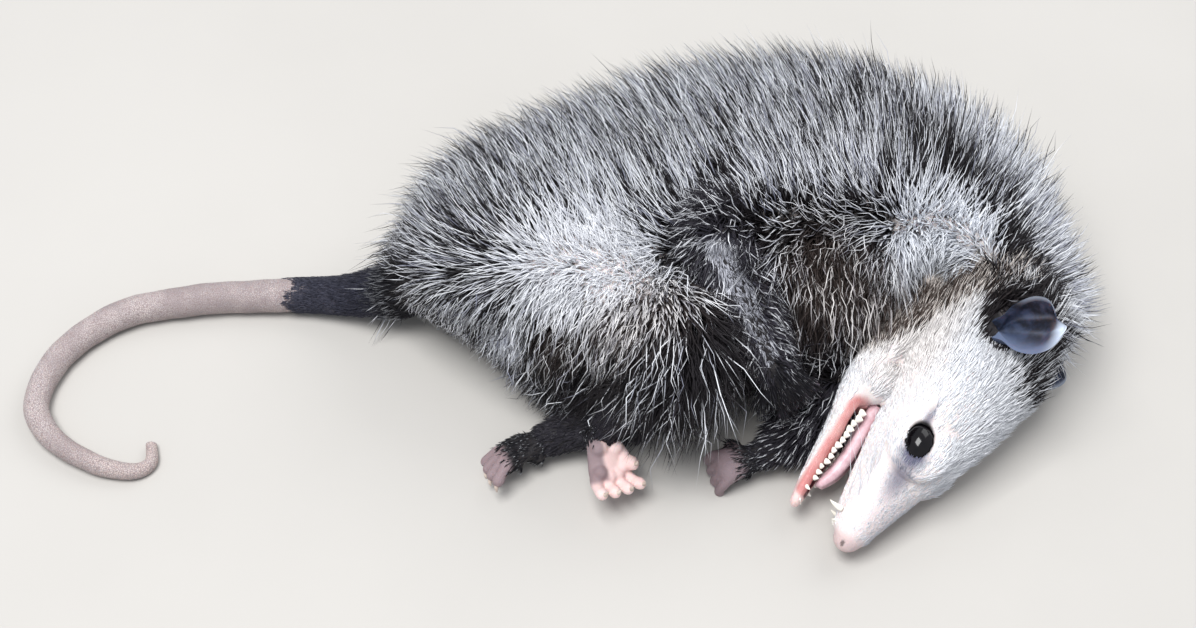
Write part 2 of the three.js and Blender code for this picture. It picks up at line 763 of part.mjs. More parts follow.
// Legs and their paws. The upper hind leg that lies on top has locks of its own.
let inTheWay = fuse([cores, headAndFloor]);
Object.entries(LEGS).forEach(([name, leg], k) => {
  const limb = limbs[k];
  const wrist = leg.rows.at(-1).slice(0, 3);
  const bare = limbShape(limb).subtract(inTheWay);
  inTheWay = fuse([inTheWay, limbShape(limb, GAP)]);
  let upper = bare;
  if (leg.locks) {
    const besideLeg = fuse([widened(torso), obstacles]).subtract(limbShape(limb, LOCK.clear));
    const locks = locksOn(limb, { ...leg.locks, obstacles: besideLeg });
    upper = fuse([bare, fuse(locks).subtract(widened(torso))]);
  }
  place(opossum, name, largest(upper), leg.look, wrist);
  const paw = largest(paws[k]().subtract(inTheWay));
  place(opossum, leg.pawName, paw, LOOKS.pink_skin, wrist);
  inTheWay = fuse([inTheWay, paws[k](GAP)]);
});

// Tail, in three lengths.
const besideTail = fuse([cores, BELOW]);
TAIL_LENGTHS.forEach(([name, from, to, material], k) => {
  const gapAt = (row) => GAP / 2 / tail.frame(row).speed;
  const first = k ? from + gapAt(from) : from;
  const last = k < TAIL_LENGTHS.length - 1 ? to - gapAt(to) : to;
  const rings = Math.round(TAIL_RINGS * (to - from));
  const bulge = [0, last === tail.end ? 1.5 : 0];
  const shape = tail.solid({ from: first, to: last, sides: 10, rings, bulge });
  const piece = largest(shape.subtract(besideTail));
  place(opossum, name, piece, material, tail.rows[Math.round(from)].slice(0, 3));
});

// The origin is under the middle of the whole, on the floor.
const box = new THREE.Box3().setFromObject(opossum, true);
const middle = box.getCenter(new THREE.Vector3());
opossum.position.set(-middle.x, -middle.y, -box.min.z);

export default opossum;
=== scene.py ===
import math

import bmesh
import bpy
import numpy as np
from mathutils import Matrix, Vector


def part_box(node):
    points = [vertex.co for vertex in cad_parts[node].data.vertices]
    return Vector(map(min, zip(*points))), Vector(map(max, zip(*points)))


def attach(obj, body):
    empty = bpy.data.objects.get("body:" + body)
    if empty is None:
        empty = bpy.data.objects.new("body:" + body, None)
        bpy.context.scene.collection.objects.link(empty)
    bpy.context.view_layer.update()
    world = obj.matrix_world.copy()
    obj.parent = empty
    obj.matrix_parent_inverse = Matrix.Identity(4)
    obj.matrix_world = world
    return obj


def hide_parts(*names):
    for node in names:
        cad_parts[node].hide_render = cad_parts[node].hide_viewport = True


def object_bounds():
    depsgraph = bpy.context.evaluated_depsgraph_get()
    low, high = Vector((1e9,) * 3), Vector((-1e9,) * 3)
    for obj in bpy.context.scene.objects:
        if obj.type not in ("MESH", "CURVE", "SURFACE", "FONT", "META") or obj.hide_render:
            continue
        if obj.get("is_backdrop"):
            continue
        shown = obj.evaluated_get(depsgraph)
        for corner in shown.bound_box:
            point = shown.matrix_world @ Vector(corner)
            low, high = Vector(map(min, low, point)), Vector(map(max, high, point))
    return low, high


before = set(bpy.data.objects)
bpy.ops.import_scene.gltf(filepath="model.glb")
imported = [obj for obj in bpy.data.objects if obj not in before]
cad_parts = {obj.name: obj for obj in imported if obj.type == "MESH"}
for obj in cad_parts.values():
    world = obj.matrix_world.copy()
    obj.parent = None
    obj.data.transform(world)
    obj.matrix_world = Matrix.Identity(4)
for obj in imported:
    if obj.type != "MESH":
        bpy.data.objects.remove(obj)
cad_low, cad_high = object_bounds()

MM = 0.001
TURN = 2 * math.pi
ROUND = (-math.pi, math.pi)
SKIN_HEIGHT = 0.3  # how far skin, claws and hair stay over the floor
HAIR_HEIGHT = 0.8  # the same of the middle of a tuft

# Trunk and neck under the coat: x, y, z, half depths to back, belly, right, left, share of the coat.
SPINE = [
    [-82, -2, 23, 8, 8, 8, 12, 0.2], [-66, -4, 31, 17, 18, 17, 27, 0.5],
    [-46, -6, 39, 28, 30, 28, 38, 0.85], [-18, -6, 45, 38, 42, 36, 45, 1],
    [14, -2, 48, 45, 47, 38, 48, 1], [46, 4, 49, 51, 48, 39, 49, 1], [78, 10, 49, 52, 46, 38, 49, 1],
    [104, 14, 48, 46, 42, 36, 48, 1], [126, 12, 47, 38, 36, 33, 47, 1],
    [143, 4, 45, 30, 17, 30, 45, 0.95], [156, -9, 43, 25, 9, 28, 43, 0.9],
    [163, -22, 41, 23, 8, 27, 41, 0.85], [164, -34, 38, 22, 8, 26, 38, 0.8],
]
# Head frame: x forward, y towards the crown, z to the right side of the head.
OCCIPUT = np.array([171.0, -25.0, 41.0])
NOSE = np.array([99.0, -122.0, 11.0])
# Skull and muzzle: forward, crown, right, half depths to crown, throat, right and left.
SKULL_COAT = [3, 3, 3, 3, 2.4, 1.6, 1.0, 1.0, 1.5]  # depth of the coat over the skin at each row
SKULL = [
    [2, 0, 0, 24, 27, 26, 30], [18, 0, 0, 26, 29, 28.5, 32], [34, 0, 0, 27, 29, 30, 33],
    [50, 0, 0, 26, 27, 29, 31], [64, 0, 0, 23, 23.5, 24, 25], [77, 0, 0, 19, 21.5, 17.5, 18],
    [92, -1, 0, 14.5, 18, 12.5, 12.5], [107, -1.5, 0, 10.5, 14, 10, 10], [119.5, -1.5, 0, 7.5, 10, 8, 8],
]
JAW_COAT = [3, 3, 2, 1, 0.5, 0.2, 0.2, 0.2]
JAW = [
    [22, -22, 0, 12, 17, 21, 25], [40, -26, 0, 12, 17, 21, 25], [56, -30, 0, 9, 13, 18, 20],
    [70, -31, 0, 7, 9.5, 14, 14], [86, -30.5, 0, 5, 6, 10, 10], [102, -29.5, 0, 3.6, 4.4, 7.6, 7.6],
    [114, -28.6, 0, 2.8, 3.4, 5.6, 5.6], [120, -28.2, 0, 2, 2.4, 3.6, 3.6],
]
PALATE = [
    [73, -24.8, 0, 4.2, 4.6, 10, 10], [80, -23.5, 0, 4.5, 6, 9, 9], [92, -20, 0, 4, 5, 7, 7],
    [108, -17, 0, 3, 5, 4.6, 4.6],
]
MOUTH_FLOOR = [
    [73.5, -26, 0, 5, 4.2, 9, 9], [82, -24.5, 0, 5, 3.8, 7, 7], [98, -25, 0, 4, 3.4, 4.6, 4.6],
    [112, -25.6, 0, 3, 2.6, 2.6, 2.6],
]
TONGUE = [
    [68, -22.5, 0, 3, 3, 4.6, 4.6], [80, -21.6, 0, 3, 2.8, 4.8, 4.8], [91, -20.6, 0, 3.2, 2.8, 5, 5],
    [101, -21.6, 0, 3, 2.6, 4.2, 4.2], [108, -24, 0, 2.2, 2, 2.6, 2.6],
]
EYE_PLACE = np.array([75.5, 2.5, 14.3])
EYE_BALL = np.array([8.4, 6.4, 6.3])
EYE_SLIT = (6.5, 4.7)  # half length and half height of the opening between the lids
EYE_RIM = (7.7, 5.6)  # the same of the black skin round it
EYE_TILT = 0.35
EYE_GAP = 0.12  # between an eye and its socket
LID = ((17, 13.5, 7.1), (-1.5, 0, -2.3))  # half sizes of the swelling of the lids, and its place from the eye
# Balls of the head: place and half sizes.
NOSE_PAD = ([118.9, -2.6, 0], [7.2, 6.3, 6.0])
CHEEK = ([60, -26.5, 8], [10.5, 8, 8])  # closes the corner of the mouth
NOSTRIL = ([124.2, -2.6, 3.7], [1.8, 0.8, 1.5])
# Middle of the lower lip at its ends: forward, crown, half width.
LIP = ([75, -25.8, 5.4], [114, -27.8, 2.7])
# Legs from the body out: x, y, z, radius. side: axis of the loft. paw: way ahead, way out of its back,
# size, curl of the digits, turn of the thumb. dusk: how dark its skin is; the right hand's is raised with
# painted shade. bare: where its hair ends, from the wrist. coat: the row where the long coat ends. deep:
# depth
# of the coat. node: the paw's node.
LEGS = {
    "foreleg_left": {
        "rows": [
            [112, -6, 20, 14], [106, -30, 17, 13], [98, -50, 15, 11.5],
            [88, -63, 13.5, 9.5], [75, -74, 12, 8], [63, -80, 11, 7],
        ],
        "side": (0, 0, 1),
        "paw": ((-0.95, -0.3, -0.05), (-0.1, -0.25, 1), 1, 2.5, 1),
        "dusk": 0.8, "bare": (2, 8), "coat": 2.2, "node": "forepaw_left", "deep": 1.6,
    },
    "foreleg_right": {
        "rows": [
            [116, 4, 68, 15], [98, -1, 72, 14], [74, -8, 80, 12.5], [52, -18, 86, 11.5],
            [50, -28, 82, 10.5], [58, -43, 71, 9], [67, -56, 56, 7.5], [72, -62, 48, 6.6],
        ],
        "side": (-1, 0, 0),
        "paw": ((0.55, -0.3, -0.75), (0.3, -0.8, 0.5), 1, 1.3, 1),
        # dusk 1.0: the right hand's own purple skin, darkened further with painted shade, as it lies in shade
        # under the arm's hair.
        "dusk": 1.0, "bare": (13, 18), "coat": 3.1, "node": "forepaw_right", "deep": 3.0,
    },
    "hindleg_left": {
        "rows": [
            [-22, -22, 24, 22], [0, -42, 20, 18], [15, -56, 17, 14],
            [6, -63, 15, 12], [-10, -67, 12.5, 9.5], [-24, -72, 10.5, 7.8],
        ],
        "side": (0, 0, 1),
        "paw": ((-0.93, -0.38, -0.04), (-0.2, 0.5, 0.8), 1.15, 1.1, 0.9),
        "dusk": 0.75, "bare": (14, 17), "coat": 2.2, "node": "hindfoot_left", "deep": 1.2,
    },
    "hindleg_right": {
        "rows": [
            [-22, -14, 58, 26], [0, -30, 62, 22], [22, -46, 65, 17.5], [34, -54, 61, 14.5],
            [28, -62, 51, 12.5], [16, -68, 38, 10.5], [5, -73, 27, 8.5], [1, -77, 21, 7.2],
        ],
        "side": (0, 0, 1),
        "paw": ((0.22, -0.8, -0.55), (-0.55, 0.5, -0.65), 1.15, 1.7, 0.2),
        "dusk": 0.75, "bare": (-4, 1), "coat": 4.4, "node": "hindfoot_right", "deep": 1.6,
    },
}
# Palm: distance ahead of the wrist, half thickness, half width. Digit: step, radius. Claw: radii.
# Pads: ahead of the wrist, across, radius.
PALM = [[-5, 4, 5], [0, 4, 5.6], [5.5, 4.2, 6.6], [11.5, 3.8, 7.6], [14.5, 2.4, 5.4]]
DIGIT = [[-1.5, 2.3], [4, 2.4], [3.6, 2.0], [3.2, 2.3], [1.6, 1.5]]
CLAW = [0.95, 0.8, 0.55, 0.12]
PADS = [[11, -4.6, 2.7], [13, -1.4, 2.7], [13, 1.9, 2.6], [10.5, 5, 2.9], [3.5, 3.2, 3.2], [2.5, -3, 3.2]]
# Ears in the head frame: root, way to the tip, way out of the cup, size.
EARS = {
    "ear_right": (np.array([21, 7.5, 25.5]), (-0.27, 0.72, 0.64), (0.35, -0.25, 0.9), 0.79),
    "ear_left": (np.array([18, 10, -22.0]), (-0.75, 0.6, -0.25), (0.4, 0.1, -0.9), 0.8),
}
# Ear: distance from the root, half width, half angle of the roll, thickness, depth of the back.
EAR = np.array([
    [-3, 6.5, 2.5, 5.4, 5], [4, 8, 2.2, 2.0, 6], [11, 12, 1.7, 1.3, 8], [20, 14.5, 1.4, 1.0, 8],
    [28, 13.5, 1.2, 0.9, 6], [33, 10.5, 0.9, 0.8, 3], [35.5, 6, 0.7, 0.7, 2],
])
# Tail from the body out: x, y, z, radius.
TAIL = [
    [-72, -3.4, 26, 12], [-88, -1, 19, 10], [-110, 2, 11.5, 8.4], [-135, 4.5, 7.8, 7.5],
    [-174, 3, 6.6, 6.9], [-208, -5, 6, 6.4], [-230, -25, 5.6, 5.9], [-237, -49, 5.1, 5.4],
    [-228, -66, 4.6, 4.9], [-209, -78, 3.9, 4.2], [-193, -81.5, 3.2, 3.5],
    [-185.5, -77.5, 2.6, 2.8], [-186.5, -68, 2.1, 2.2],
]
TAIL_START = 0.3  # row where the bare tail starts
SCALE_STEP = 1.5  # from one ring of scales to the next
CHEEK_TEETH = 13
# Sizes of the grids that the skins are made with.
TRUNK_GRID, HEAD_GRID, PAW_GRID = 1.9, 0.75, 0.65


def unit(v):
    """Vectors of length 1."""
    v = np.asarray(v, float)
    return v / np.maximum(np.linalg.norm(v, axis=-1, keepdims=True), 1e-9)


def rise(x, low, high):
    """0 below low, 1 above high, and an even rise between."""
    t = np.clip((x - low) / (high - low), 0, 1)
    return t * t * (3 - 2 * t)


def fall(x, low, high):
    """1 below low, 0 above high, and an even fall between."""
    return 1 - rise(x, low, high)


HEAD_X = unit(NOSE - OCCIPUT)
HEAD_Z = unit(np.array([0, 0, 1.0]) - HEAD_X * HEAD_X[2])
HEAD_AXES = np.array([HEAD_X, np.cross(HEAD_Z, HEAD_X), HEAD_Z])


def from_head(points):
    return OCCIPUT + np.asarray(points, float) @ HEAD_AXES


def to_head(points):
    return (points - OCCIPUT) @ HEAD_AXES.T


eye_low, eye_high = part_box("eye_right")
SHIFT = np.array((eye_low + eye_high) / 2) / MM - from_head(EYE_PLACE)


def along(rows, place):
    """Values between the rows of a table, by a Catmull-Rom curve in every column."""
    last = len(rows) - 1
    place = np.atleast_1d(np.asarray(place, float))
    i = np.clip(np.floor(place), 0, last - 1).astype(int)
    u = (place - i)[:, None]
    a, b, d, e = (rows[np.clip(i + k, 0, last)] for k in (-1, 0, 1, 2))
    return b + 0.5 * u * (d - a + u * (2 * a - 5 * b + 4 * d - e + u * (3 * (b - d) + e - a)))


class Body:
    """A table of stations round an axis, which gives the surface at any place and angle."""

    def __init__(self, rows, side=(0, 0, 1), coat=0.0):
        full = [list(r) + [r[3]] * 3 if len(r) == 4 else list(r) for r in rows]
        self.rows = np.array(full, float)
        self.rows[:, 3:7] -= np.reshape(coat, (-1, 1))
        self.side = unit(side)
        self.end = len(rows) - 1

    def centre(self, place):
        return along(self.rows, place)[:, :3]

    def frame(self, place):
        """Ways ahead, right and back at every place, and the length of a row there."""
        step = 0.02
        run = self.centre(place + step) - self.centre(place - step)
        ahead = unit(run)
        right = unit(self.side - ahead * (ahead @ self.side)[:, None])
        return ahead, right, np.cross(right, ahead), np.linalg.norm(run, axis=1) / (2 * step)

    def point(self, place, angle):
        row = along(self.rows, place)
        _, right, back, _ = self.frame(place)
        c, s = np.cos(angle), np.sin(angle)
        deep = np.where(c > 0, row[:, 3], row[:, 4])
        wide = np.where(s > 0, row[:, 5], row[:, 6])
        return row[:, :3] + back * (c * deep)[:, None] + right * (s * wide)[:, None]

    def locate(self, points, steps=160):
        """The place, angle and share of the way out to the surface for every point."""
        places = np.linspace(0, self.end, steps)
        centres = self.centre(places)
        place = np.empty(len(points))
        batch = 20000
        for i in range(0, len(points), batch):
            far = ((points[i : i + batch, None] - centres) ** 2).sum(2)
            place[i : i + batch] = places[far.argmin(1)]
        row = along(self.rows, place)
        _, right, back, _ = self.frame(place)
        off = points - row[:, :3]
        up, out = (off * back).sum(1), (off * right).sum(1)
        up = up / np.where(up > 0, row[:, 3], row[:, 4])
        out = out / np.where(out > 0, row[:, 5], row[:, 6])
        return place, np.arctan2(out, up), np.hypot(up, out)


def tube_faces(rings, sides):
    """Faces round rings of points, closed by one point before the first ring and one after the last."""
    turn = [(s, (s + 1) % sides) for s in range(sides)]
    top, first, last = (rings - 1) * sides, rings * sides, rings * sides + 1
    faces = [(r + s, r + t, r + sides + t, r + sides + s) for r in range(0, top, sides) for s, t in turn]
    for s, t in turn:
        faces += [(first, t, s), (last, top + s, top + t)]
    return faces


def loft(body, sides, rings, start=0.0, bulge=(2.0, 2.0)):
    """The closed surface of a body as points and faces."""
    place = np.linspace(start, body.end, rings)
    angle = np.arange(sides) * TURN / sides
    ends = place[[0, -1]]
    poles = body.centre(ends) + body.frame(ends)[0] * np.array([[-bulge[0]], [bulge[1]]])
    points = body.point(np.repeat(place, sides), np.tile(angle, rings))
    return np.vstack([points, poles]), tube_faces(rings, sides)


def ball(centre, radii, sides=24, rings=14):
    """A closed ellipsoid."""
    polar = np.linspace(0, math.pi, rings + 2)[1:-1]
    points = [
        (math.cos(t), math.sin(t) * math.cos(a), math.sin(t) * math.sin(a))
        for t in polar
        for a in np.arange(sides) * TURN / sides
    ]
    points = np.array(points + [(1, 0, 0), (-1, 0, 0)])
    return points * radii + centre, [(face[0], *face[:0:-1]) for face in tube_faces(rings, sides)]


def joined(parts):
    """Several shapes as one list of points and one of faces."""
    points, faces, count = [], [], 0
    for p, f in parts:
        points.append(p)
        faces += [tuple(int(i) + count for i in face) for face in f]
        count += len(p)
    return np.vstack(points), faces


def mesh_of(name, points, faces):
    """A mesh in metres on the frame, from points in millimetres."""
    mesh = bpy.data.meshes.new(name)
    mesh.from_pydata(((points + SHIFT) * MM).tolist(), [], faces)
    mesh.update()
    return mesh


def paint(mesh, values):
    """Values at the points of a mesh, which its material reads."""
    for key, value in values.items():
        mesh.attributes.new(key, "FLOAT", "POINT").data.foreach_set("value", np.array(value, np.float32))


def piece(name, mesh, look=None, slot=None, stands_for=()):
    """A mesh as an object of the scene; with a slot it is parented to the root body, but the slot's name is
    not kept.
    """
    made = bpy.data.objects.new(name, mesh)
    bpy.context.scene.collection.objects.link(made)
    if look:
        mesh.materials.append(look)
    mesh.shade_smooth()
    if slot:
        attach(made, "root")
    if stands_for:
        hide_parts(*stands_for)
    return made


def face_out(mesh):
    work = bmesh.new()
    work.from_mesh(mesh)
    bmesh.ops.recalc_face_normals(work, faces=work.faces)
    work.to_mesh(mesh)
    work.free()


def fused(parts, grid, rounds, cuts=()):
    """One closed surface round all the parts, less the cuts, as points in millimetres and quads."""
    made = piece("work", mesh_of("work", *joined(parts)))
    helpers = [made]

    def remesh():
        again = made.modifiers.new("remesh", "REMESH")
        again.mode = "VOXEL"
        again.voxel_size = grid * MM

    remesh()
    for cut in cuts:
        tool = piece("cut", mesh_of("cut", *cut))
        face_out(tool.data)
        helpers.append(tool)
        less = made.modifiers.new("less", "BOOLEAN")
        less.operation = "DIFFERENCE"
        less.solver = "EXACT"
        less.object = tool
    if cuts:
        remesh()
    soften = made.modifiers.new("soften", "SMOOTH")
    soften.factor = 0.5
    soften.iterations = rounds
    shape = made.evaluated_get(bpy.context.evaluated_depsgraph_get()).to_mesh()
    points = np.empty(len(shape.vertices) * 3)
    shape.vertices.foreach_get("co", points)
    corners = np.empty(len(shape.loops), int)
    shape.loops.foreach_get("vertex_index", corners)
    for helper in helpers:
        bpy.data.objects.remove(helper)
    return points.reshape(-1, 3) / MM - SHIFT, corners.reshape(-1, 4)


def normals_of(points, quads):
    """The way straight out of the surface at every point."""
    across = points[quads[:, 2]] - points[quads[:, 0]]
    over = points[quads[:, 3]] - points[quads[:, 1]]
    flat = np.cross(across, over)
    total = np.zeros_like(points)
    for k in range(4):
        np.add.at(total, quads[:, k], flat)
    return unit(total)


# Skin of the trunk and the legs.
spine = Body(SPINE)
limbs = {name: Body(leg["rows"], leg["side"], leg["deep"]) for name, leg in LEGS.items()}
tail = Body(TAIL)
trunk_parts = [loft(spine, 44, 60, bulge=(4, 3))]
trunk_parts += [loft(limb, 28, 40, bulge=(3, 2)) for limb in limbs.values()]
trunk = fused(trunk_parts, TRUNK_GRID, 8)

# Skin of the head: skull, jaw, nose pad, lids and cheeks, less the mouth, the nostrils and the eyes.
skull, jaw = Body(SKULL, coat=SKULL_COAT), Body(JAW, coat=JAW_COAT)
palate, mouth_floor, tongue = Body(PALATE), Body(MOUTH_FLOOR), Body(TONGUE)


def mirrored(point, side):
    """A place on the right of the head (side 1) or its like on the left (side -1)."""
    return np.array([point[0], point[1], side * point[2]])


def eye_axes(side):
    """Along the eye's slit, across it and straight out, in the head frame."""
    c, s = math.cos(EYE_TILT), math.sin(EYE_TILT)
    return np.array([[c, s, 0], [-s, c, 0], [0, 0, side]])


def rim_share(points):
    """The share of the way out from the middle of the nearer eye to the edge of its black rim."""
    shares = []
    for side in (1, -1):
        off = (points - mirrored(EYE_PLACE, side)) @ eye_axes(side).T
        share = np.hypot(off[:, 0] / EYE_RIM[0], off[:, 1] / EYE_RIM[1])
        shares.append(np.where(off[:, 2] > -4, share, 9))
    return np.minimum(*shares)


def eye_ball(side, radii, shift=(0, 0, 0), sides=32, rings=20):
    """An ellipsoid that lies along an eye's slit, at a shift from the eye's place."""
    points, faces = ball(np.zeros(3), radii, sides, rings)
    return points @ eye_axes(side) + mirrored(EYE_PLACE + shift, side), faces


def lip_share(points):
    """The share of the way out from the middle of the lower lip to its edge."""
    (x0, y0, w0), (x1, y1, w1) = LIP
    t = np.clip((points[:, 0] - x0) / (x1 - x0), 0, 1)
    far = np.hypot(points[:, 0] - (x0 + (x1 - x0) * t), points[:, 1] - (y0 + (y1 - y0) * t))
    return far / (w0 + (w1 - w0) * t)


head_parts = [
    loft(skull, 56, 60, start=0.2, bulge=(2, 4)),
    loft(jaw, 40, 50, bulge=(4, 2)),
    ball(*NOSE_PAD),
]
head_cuts = [loft(palate, 24, 30, bulge=(3, 2)), loft(mouth_floor, 24, 30, bulge=(2, 2))]
for side in (1, -1):
    head_parts += [eye_ball(side, *LID), ball(mirrored(CHEEK[0], side), CHEEK[1], 24, 16)]
    head_cuts += [
        eye_ball(side, EYE_BALL + EYE_GAP),
        eye_ball(side, [*EYE_SLIT, 12], (0, 0, 9)),
        ball(mirrored(NOSTRIL[0], side), NOSTRIL[1], 16, 10),
    ]
head_parts, head_cuts = ([(from_head(p), f) for p, f in shapes] for shapes in (head_parts, head_cuts))
head_points, head_quads = fused(head_parts, HEAD_GRID, 3, head_cuts)


def paw_parts(root, ahead, back, size, curl, thumb):
    """The palm, pads and digits of one paw, its claws, and its own axes."""
    forth = unit(ahead)
    up = unit(back - forth * (forth @ np.asarray(back, float)))
    across = np.cross(forth, up)
    axes = np.array([forth, across, up]) * size

    def at(x, y, z):
        return root + np.array([x, y, z]) @ axes

    rows = [[*at(x, 0, 0), t * size, t * size, w * size, w * size] for x, t, w in PALM]
    flesh = [loft(Body(rows, across), 20, 16, bulge=(2, 1.5))]
    claws = []

    def digit(x, y, turn, stout):
        z, rows = 0.0, []
        for j, (step, radius) in enumerate(DIGIT):
            bend = curl * j / len(DIGIT)
            x += step * math.cos(bend) * math.cos(turn)
            y += step * math.cos(bend) * math.sin(turn)
            z -= step * math.sin(bend)
            rows.append([*at(x, y, z), radius * size * stout])
        flesh.append(loft(Body(rows, up + 0.3 * across), 14, 16, bulge=(0.5, 1.0)))
        rows = []
        for j, radius in enumerate(CLAW):
            rows.append([*at(x, y, z + 0.5), radius * size])
            bend = curl + 0.22 * j
            x += math.cos(bend) * math.cos(turn)
            y += math.cos(bend) * math.sin(turn)
            z -= math.sin(bend)
        claws.append(loft(Body(rows, up + 0.3 * across), 10, 8, bulge=(0.3, 0.2)))

    for k in range(4):
        off = k - 1.5
        digit(12, off * 3.6, off * 0.28, 1)
    digit(4, 5.5, thumb, 1.15)
    for x, y, radius in PADS:
        flesh.append(ball(at(x, y, -2.6), np.full(3, radius * size), 14, 8))
    return flesh, claws, axes


paws, claws = [], []
for name, leg in LEGS.items():
    root = np.array(leg["rows"][-1][:3], float)
    flesh, nails, axes = paw_parts(root, *leg["paw"])
    points, quads = fused(flesh, PAW_GRID, 3)
    paws.append((name, root, unit(axes), points, quads))
    claws += nails


def tail_skin(sides=36, rings=620):
    """The bare tail, with the low steps of its rings of scales, the way along it and where it is dark."""
    points, faces = loft(tail, sides, rings, start=TAIL_START, bulge=(2, 1.6))
    places = np.linspace(TAIL_START, tail.end, rings)
    place = np.repeat(places, sides)
    centre = tail.centre(place)
    run = np.cumsum(tail.frame(places)[3]) * (tail.end - TAIL_START) / (rings - 1)
    run = np.repeat(run, sides)
    step = (run / SCALE_STEP) % 1
    angle = np.tile(np.arange(sides) * TURN / sides, rings)
    uneven = 0.03 * np.sin(0.19 * run + 2 * np.sin(angle)) + 0.02 * np.sin(0.47 * run - angle)
    share = 1 - 0.022 * (1 - step) ** 2 + uneven * 0.6
    points[: rings * sides] = centre + (points[: rings * sides] - centre) * share[:, None]
    edge = 2.86 + 0.1 * np.sin(3 * angle) + 0.05 * np.sin(7 * angle)
    dark = fall(place, edge - 0.06, edge + 0.06)
    return points, faces, np.append(run, [0, run[-1]]), np.append(dark, [1, 0])


# Markings of the coat: places in the pose's own axes, half sizes, how pale and how warm.
HIP = ((-3, -33, 85), (29, 18, 23), 1.3, 0.1)
THIGH = ((15, -46, 75), (20, 13, 17), 0.62, 0.4)
FLANK_TUFT = ((-36, -46, 52), (10, 11, 13), 1.05, 0.0)
UNDER_HIP = ((-15, -51, 60), (13, 10, 12), 0.12, 0.3)
SHOULDER = ((139, -17, 70), (20, 19, 21), 1.5, 0.0)
CURLS = ((98, -31, 74), (25, 19, 24), 0.2, 0.5)
THROAT = ((129, -40, 46), (22, 27, 32), 0.58, 0.8)
EAR_PATCH = ((166, -36, 74), (16, 14, 20), 0.0, 0.1)
# Black skin and coat round the ears, in the head frame: places, half sizes and softness.
EAR_BLACKS = [
    (((13, 13, 25), (13, 12, 13)), 0.4), (((22, 0, 27), (11, 7.5, 10)), 0.4),
    (((22, 7.5, 26), (9, 9, 9)), 0.3), (((13, 12, -24), (14, 14, 14)), 0.4),
]
# Grey marks round each eye, from its place: depth of the tone, places, half sizes and softness.
EYE_GREYS = [
    (0.9, (-9, -1.4, 0), (7, 2.0, 9), 0.5), (1.25, (6.6, 1.2, 0), (5.6, 5.4, 8), 0.6),
    (0.8, (15, 0.5, -2), (11, 4.2, 8), 0.8),
]
CUT = -1.6  # angle round the spine where angles start to count, on the side that it lies on


def patch(points, where, soft=0.35):
    """How far each point belongs to a marking, from 0 to 1."""
    far = np.linalg.norm((points - where[0]) / where[1], axis=1)
    return fall(far, 1 - soft, 1 + soft)


def mottle(points):
    """Uneven tone of the coat in patches the size of a thumb, from about -1 to 1."""
    x, y, z = points.T
    broad = np.sin(x / 6.1 + 1.7 * np.sin(y / 8.3)) * np.sin(z / 6.9 + y / 9.1 + 1.3 * np.sin(x / 11))
    return broad + 0.5 * np.sin(x / 3.1 - y / 4.3) * np.sin(z / 3.7 + x / 5.3)


def on_spine(points):
    """Place along the spine and angle round it from the back over the right side."""
    place, angle, _ = spine.locate(points)
    return place, np.where(angle < CUT, angle + TURN, angle)


def marks(points):
    """The coat's marking at every point: how pale and how warm it is, with its place on the spine."""
    place, angle = on_spine(points)
    pale = 0.58 + 0.16 * mottle(points)
    warm = np.full(len(points), 0.06)
    # The belly and the flank between the thigh and the shoulder are black, highest up behind the arm.
    start = 2.3 - 0.45 * np.exp(-(((place - 5.2) / 0.32) ** 2))
    dark = rise(angle, start, start + 0.4) * rise(place, 3.7, 4.5) * fall(place, 7.4, 8.6)
    dark = np.maximum(dark, rise(angle, 2.6, 3.1) * rise(place, 1.6, 2.6) * fall(place, 8.6, 9.6))
    pale = pale * (1 - 0.92 * dark) * (1 - 0.6 * fall(place, 0.8, 1.8) * rise(angle, 1.3, 2.0))
    # Dark roots under the white fringe from the withers to the ear.
    centre = 1.58 - 0.75 * fall(place, 6.8, 8.6)
    band = np.exp(-(((angle - centre) / 0.25) ** 2)) * rise(place, 7.1, 8.4) * fall(place, 11.0, 11.6)
    pale = pale * (1 - band) + 0.3 * rise(place, 7.4, 9) * fall(angle, 1.05, 1.35)
    for mark in (CURLS, THIGH, FLANK_TUFT, THROAT, UNDER_HIP, HIP, SHOULDER, EAR_PATCH):
        share = patch(points, mark, 0.4)
        pale = pale * (1 - share) + mark[2] * share
        warm = warm * (1 - share) + mark[3] * share
    return pale, warm, place, angle


def ear_dark(p):
    """How black the coat and the skin round the ears are, in the head frame."""
    return np.maximum.reduce([patch(p, where, soft) for where, soft in EAR_BLACKS])


def face_shade(p):
    """Grey marks behind and ahead of the eyes, and a grey tone on top of the muzzle that is partly painted
    shade, in the head frame.
    """
    # The top of the muzzle: a lavender grey, partly its own tone and partly painted shade.
    shade = 0.22 * rise(p[:, 0], 84, 100) * rise(p[:, 1], -3, 4)
    for side in (1, -1):
        spot = mirrored(EYE_PLACE, side)
        for tone, shift, size, soft in EYE_GREYS:
            shade = np.maximum(shade, tone * patch(p, (spot + shift, size), soft))
    return shade


# Materials.
def rgb(r, g, b):
    """A colour on the screen, 0 to 255, as a shader colour."""
    shares = [c / 255 for c in (r, g, b)]
    return (*(c / 12.92 if c <= 0.0404 else ((c + 0.055) / 1.055) ** 2.4 for c in shares), 1)


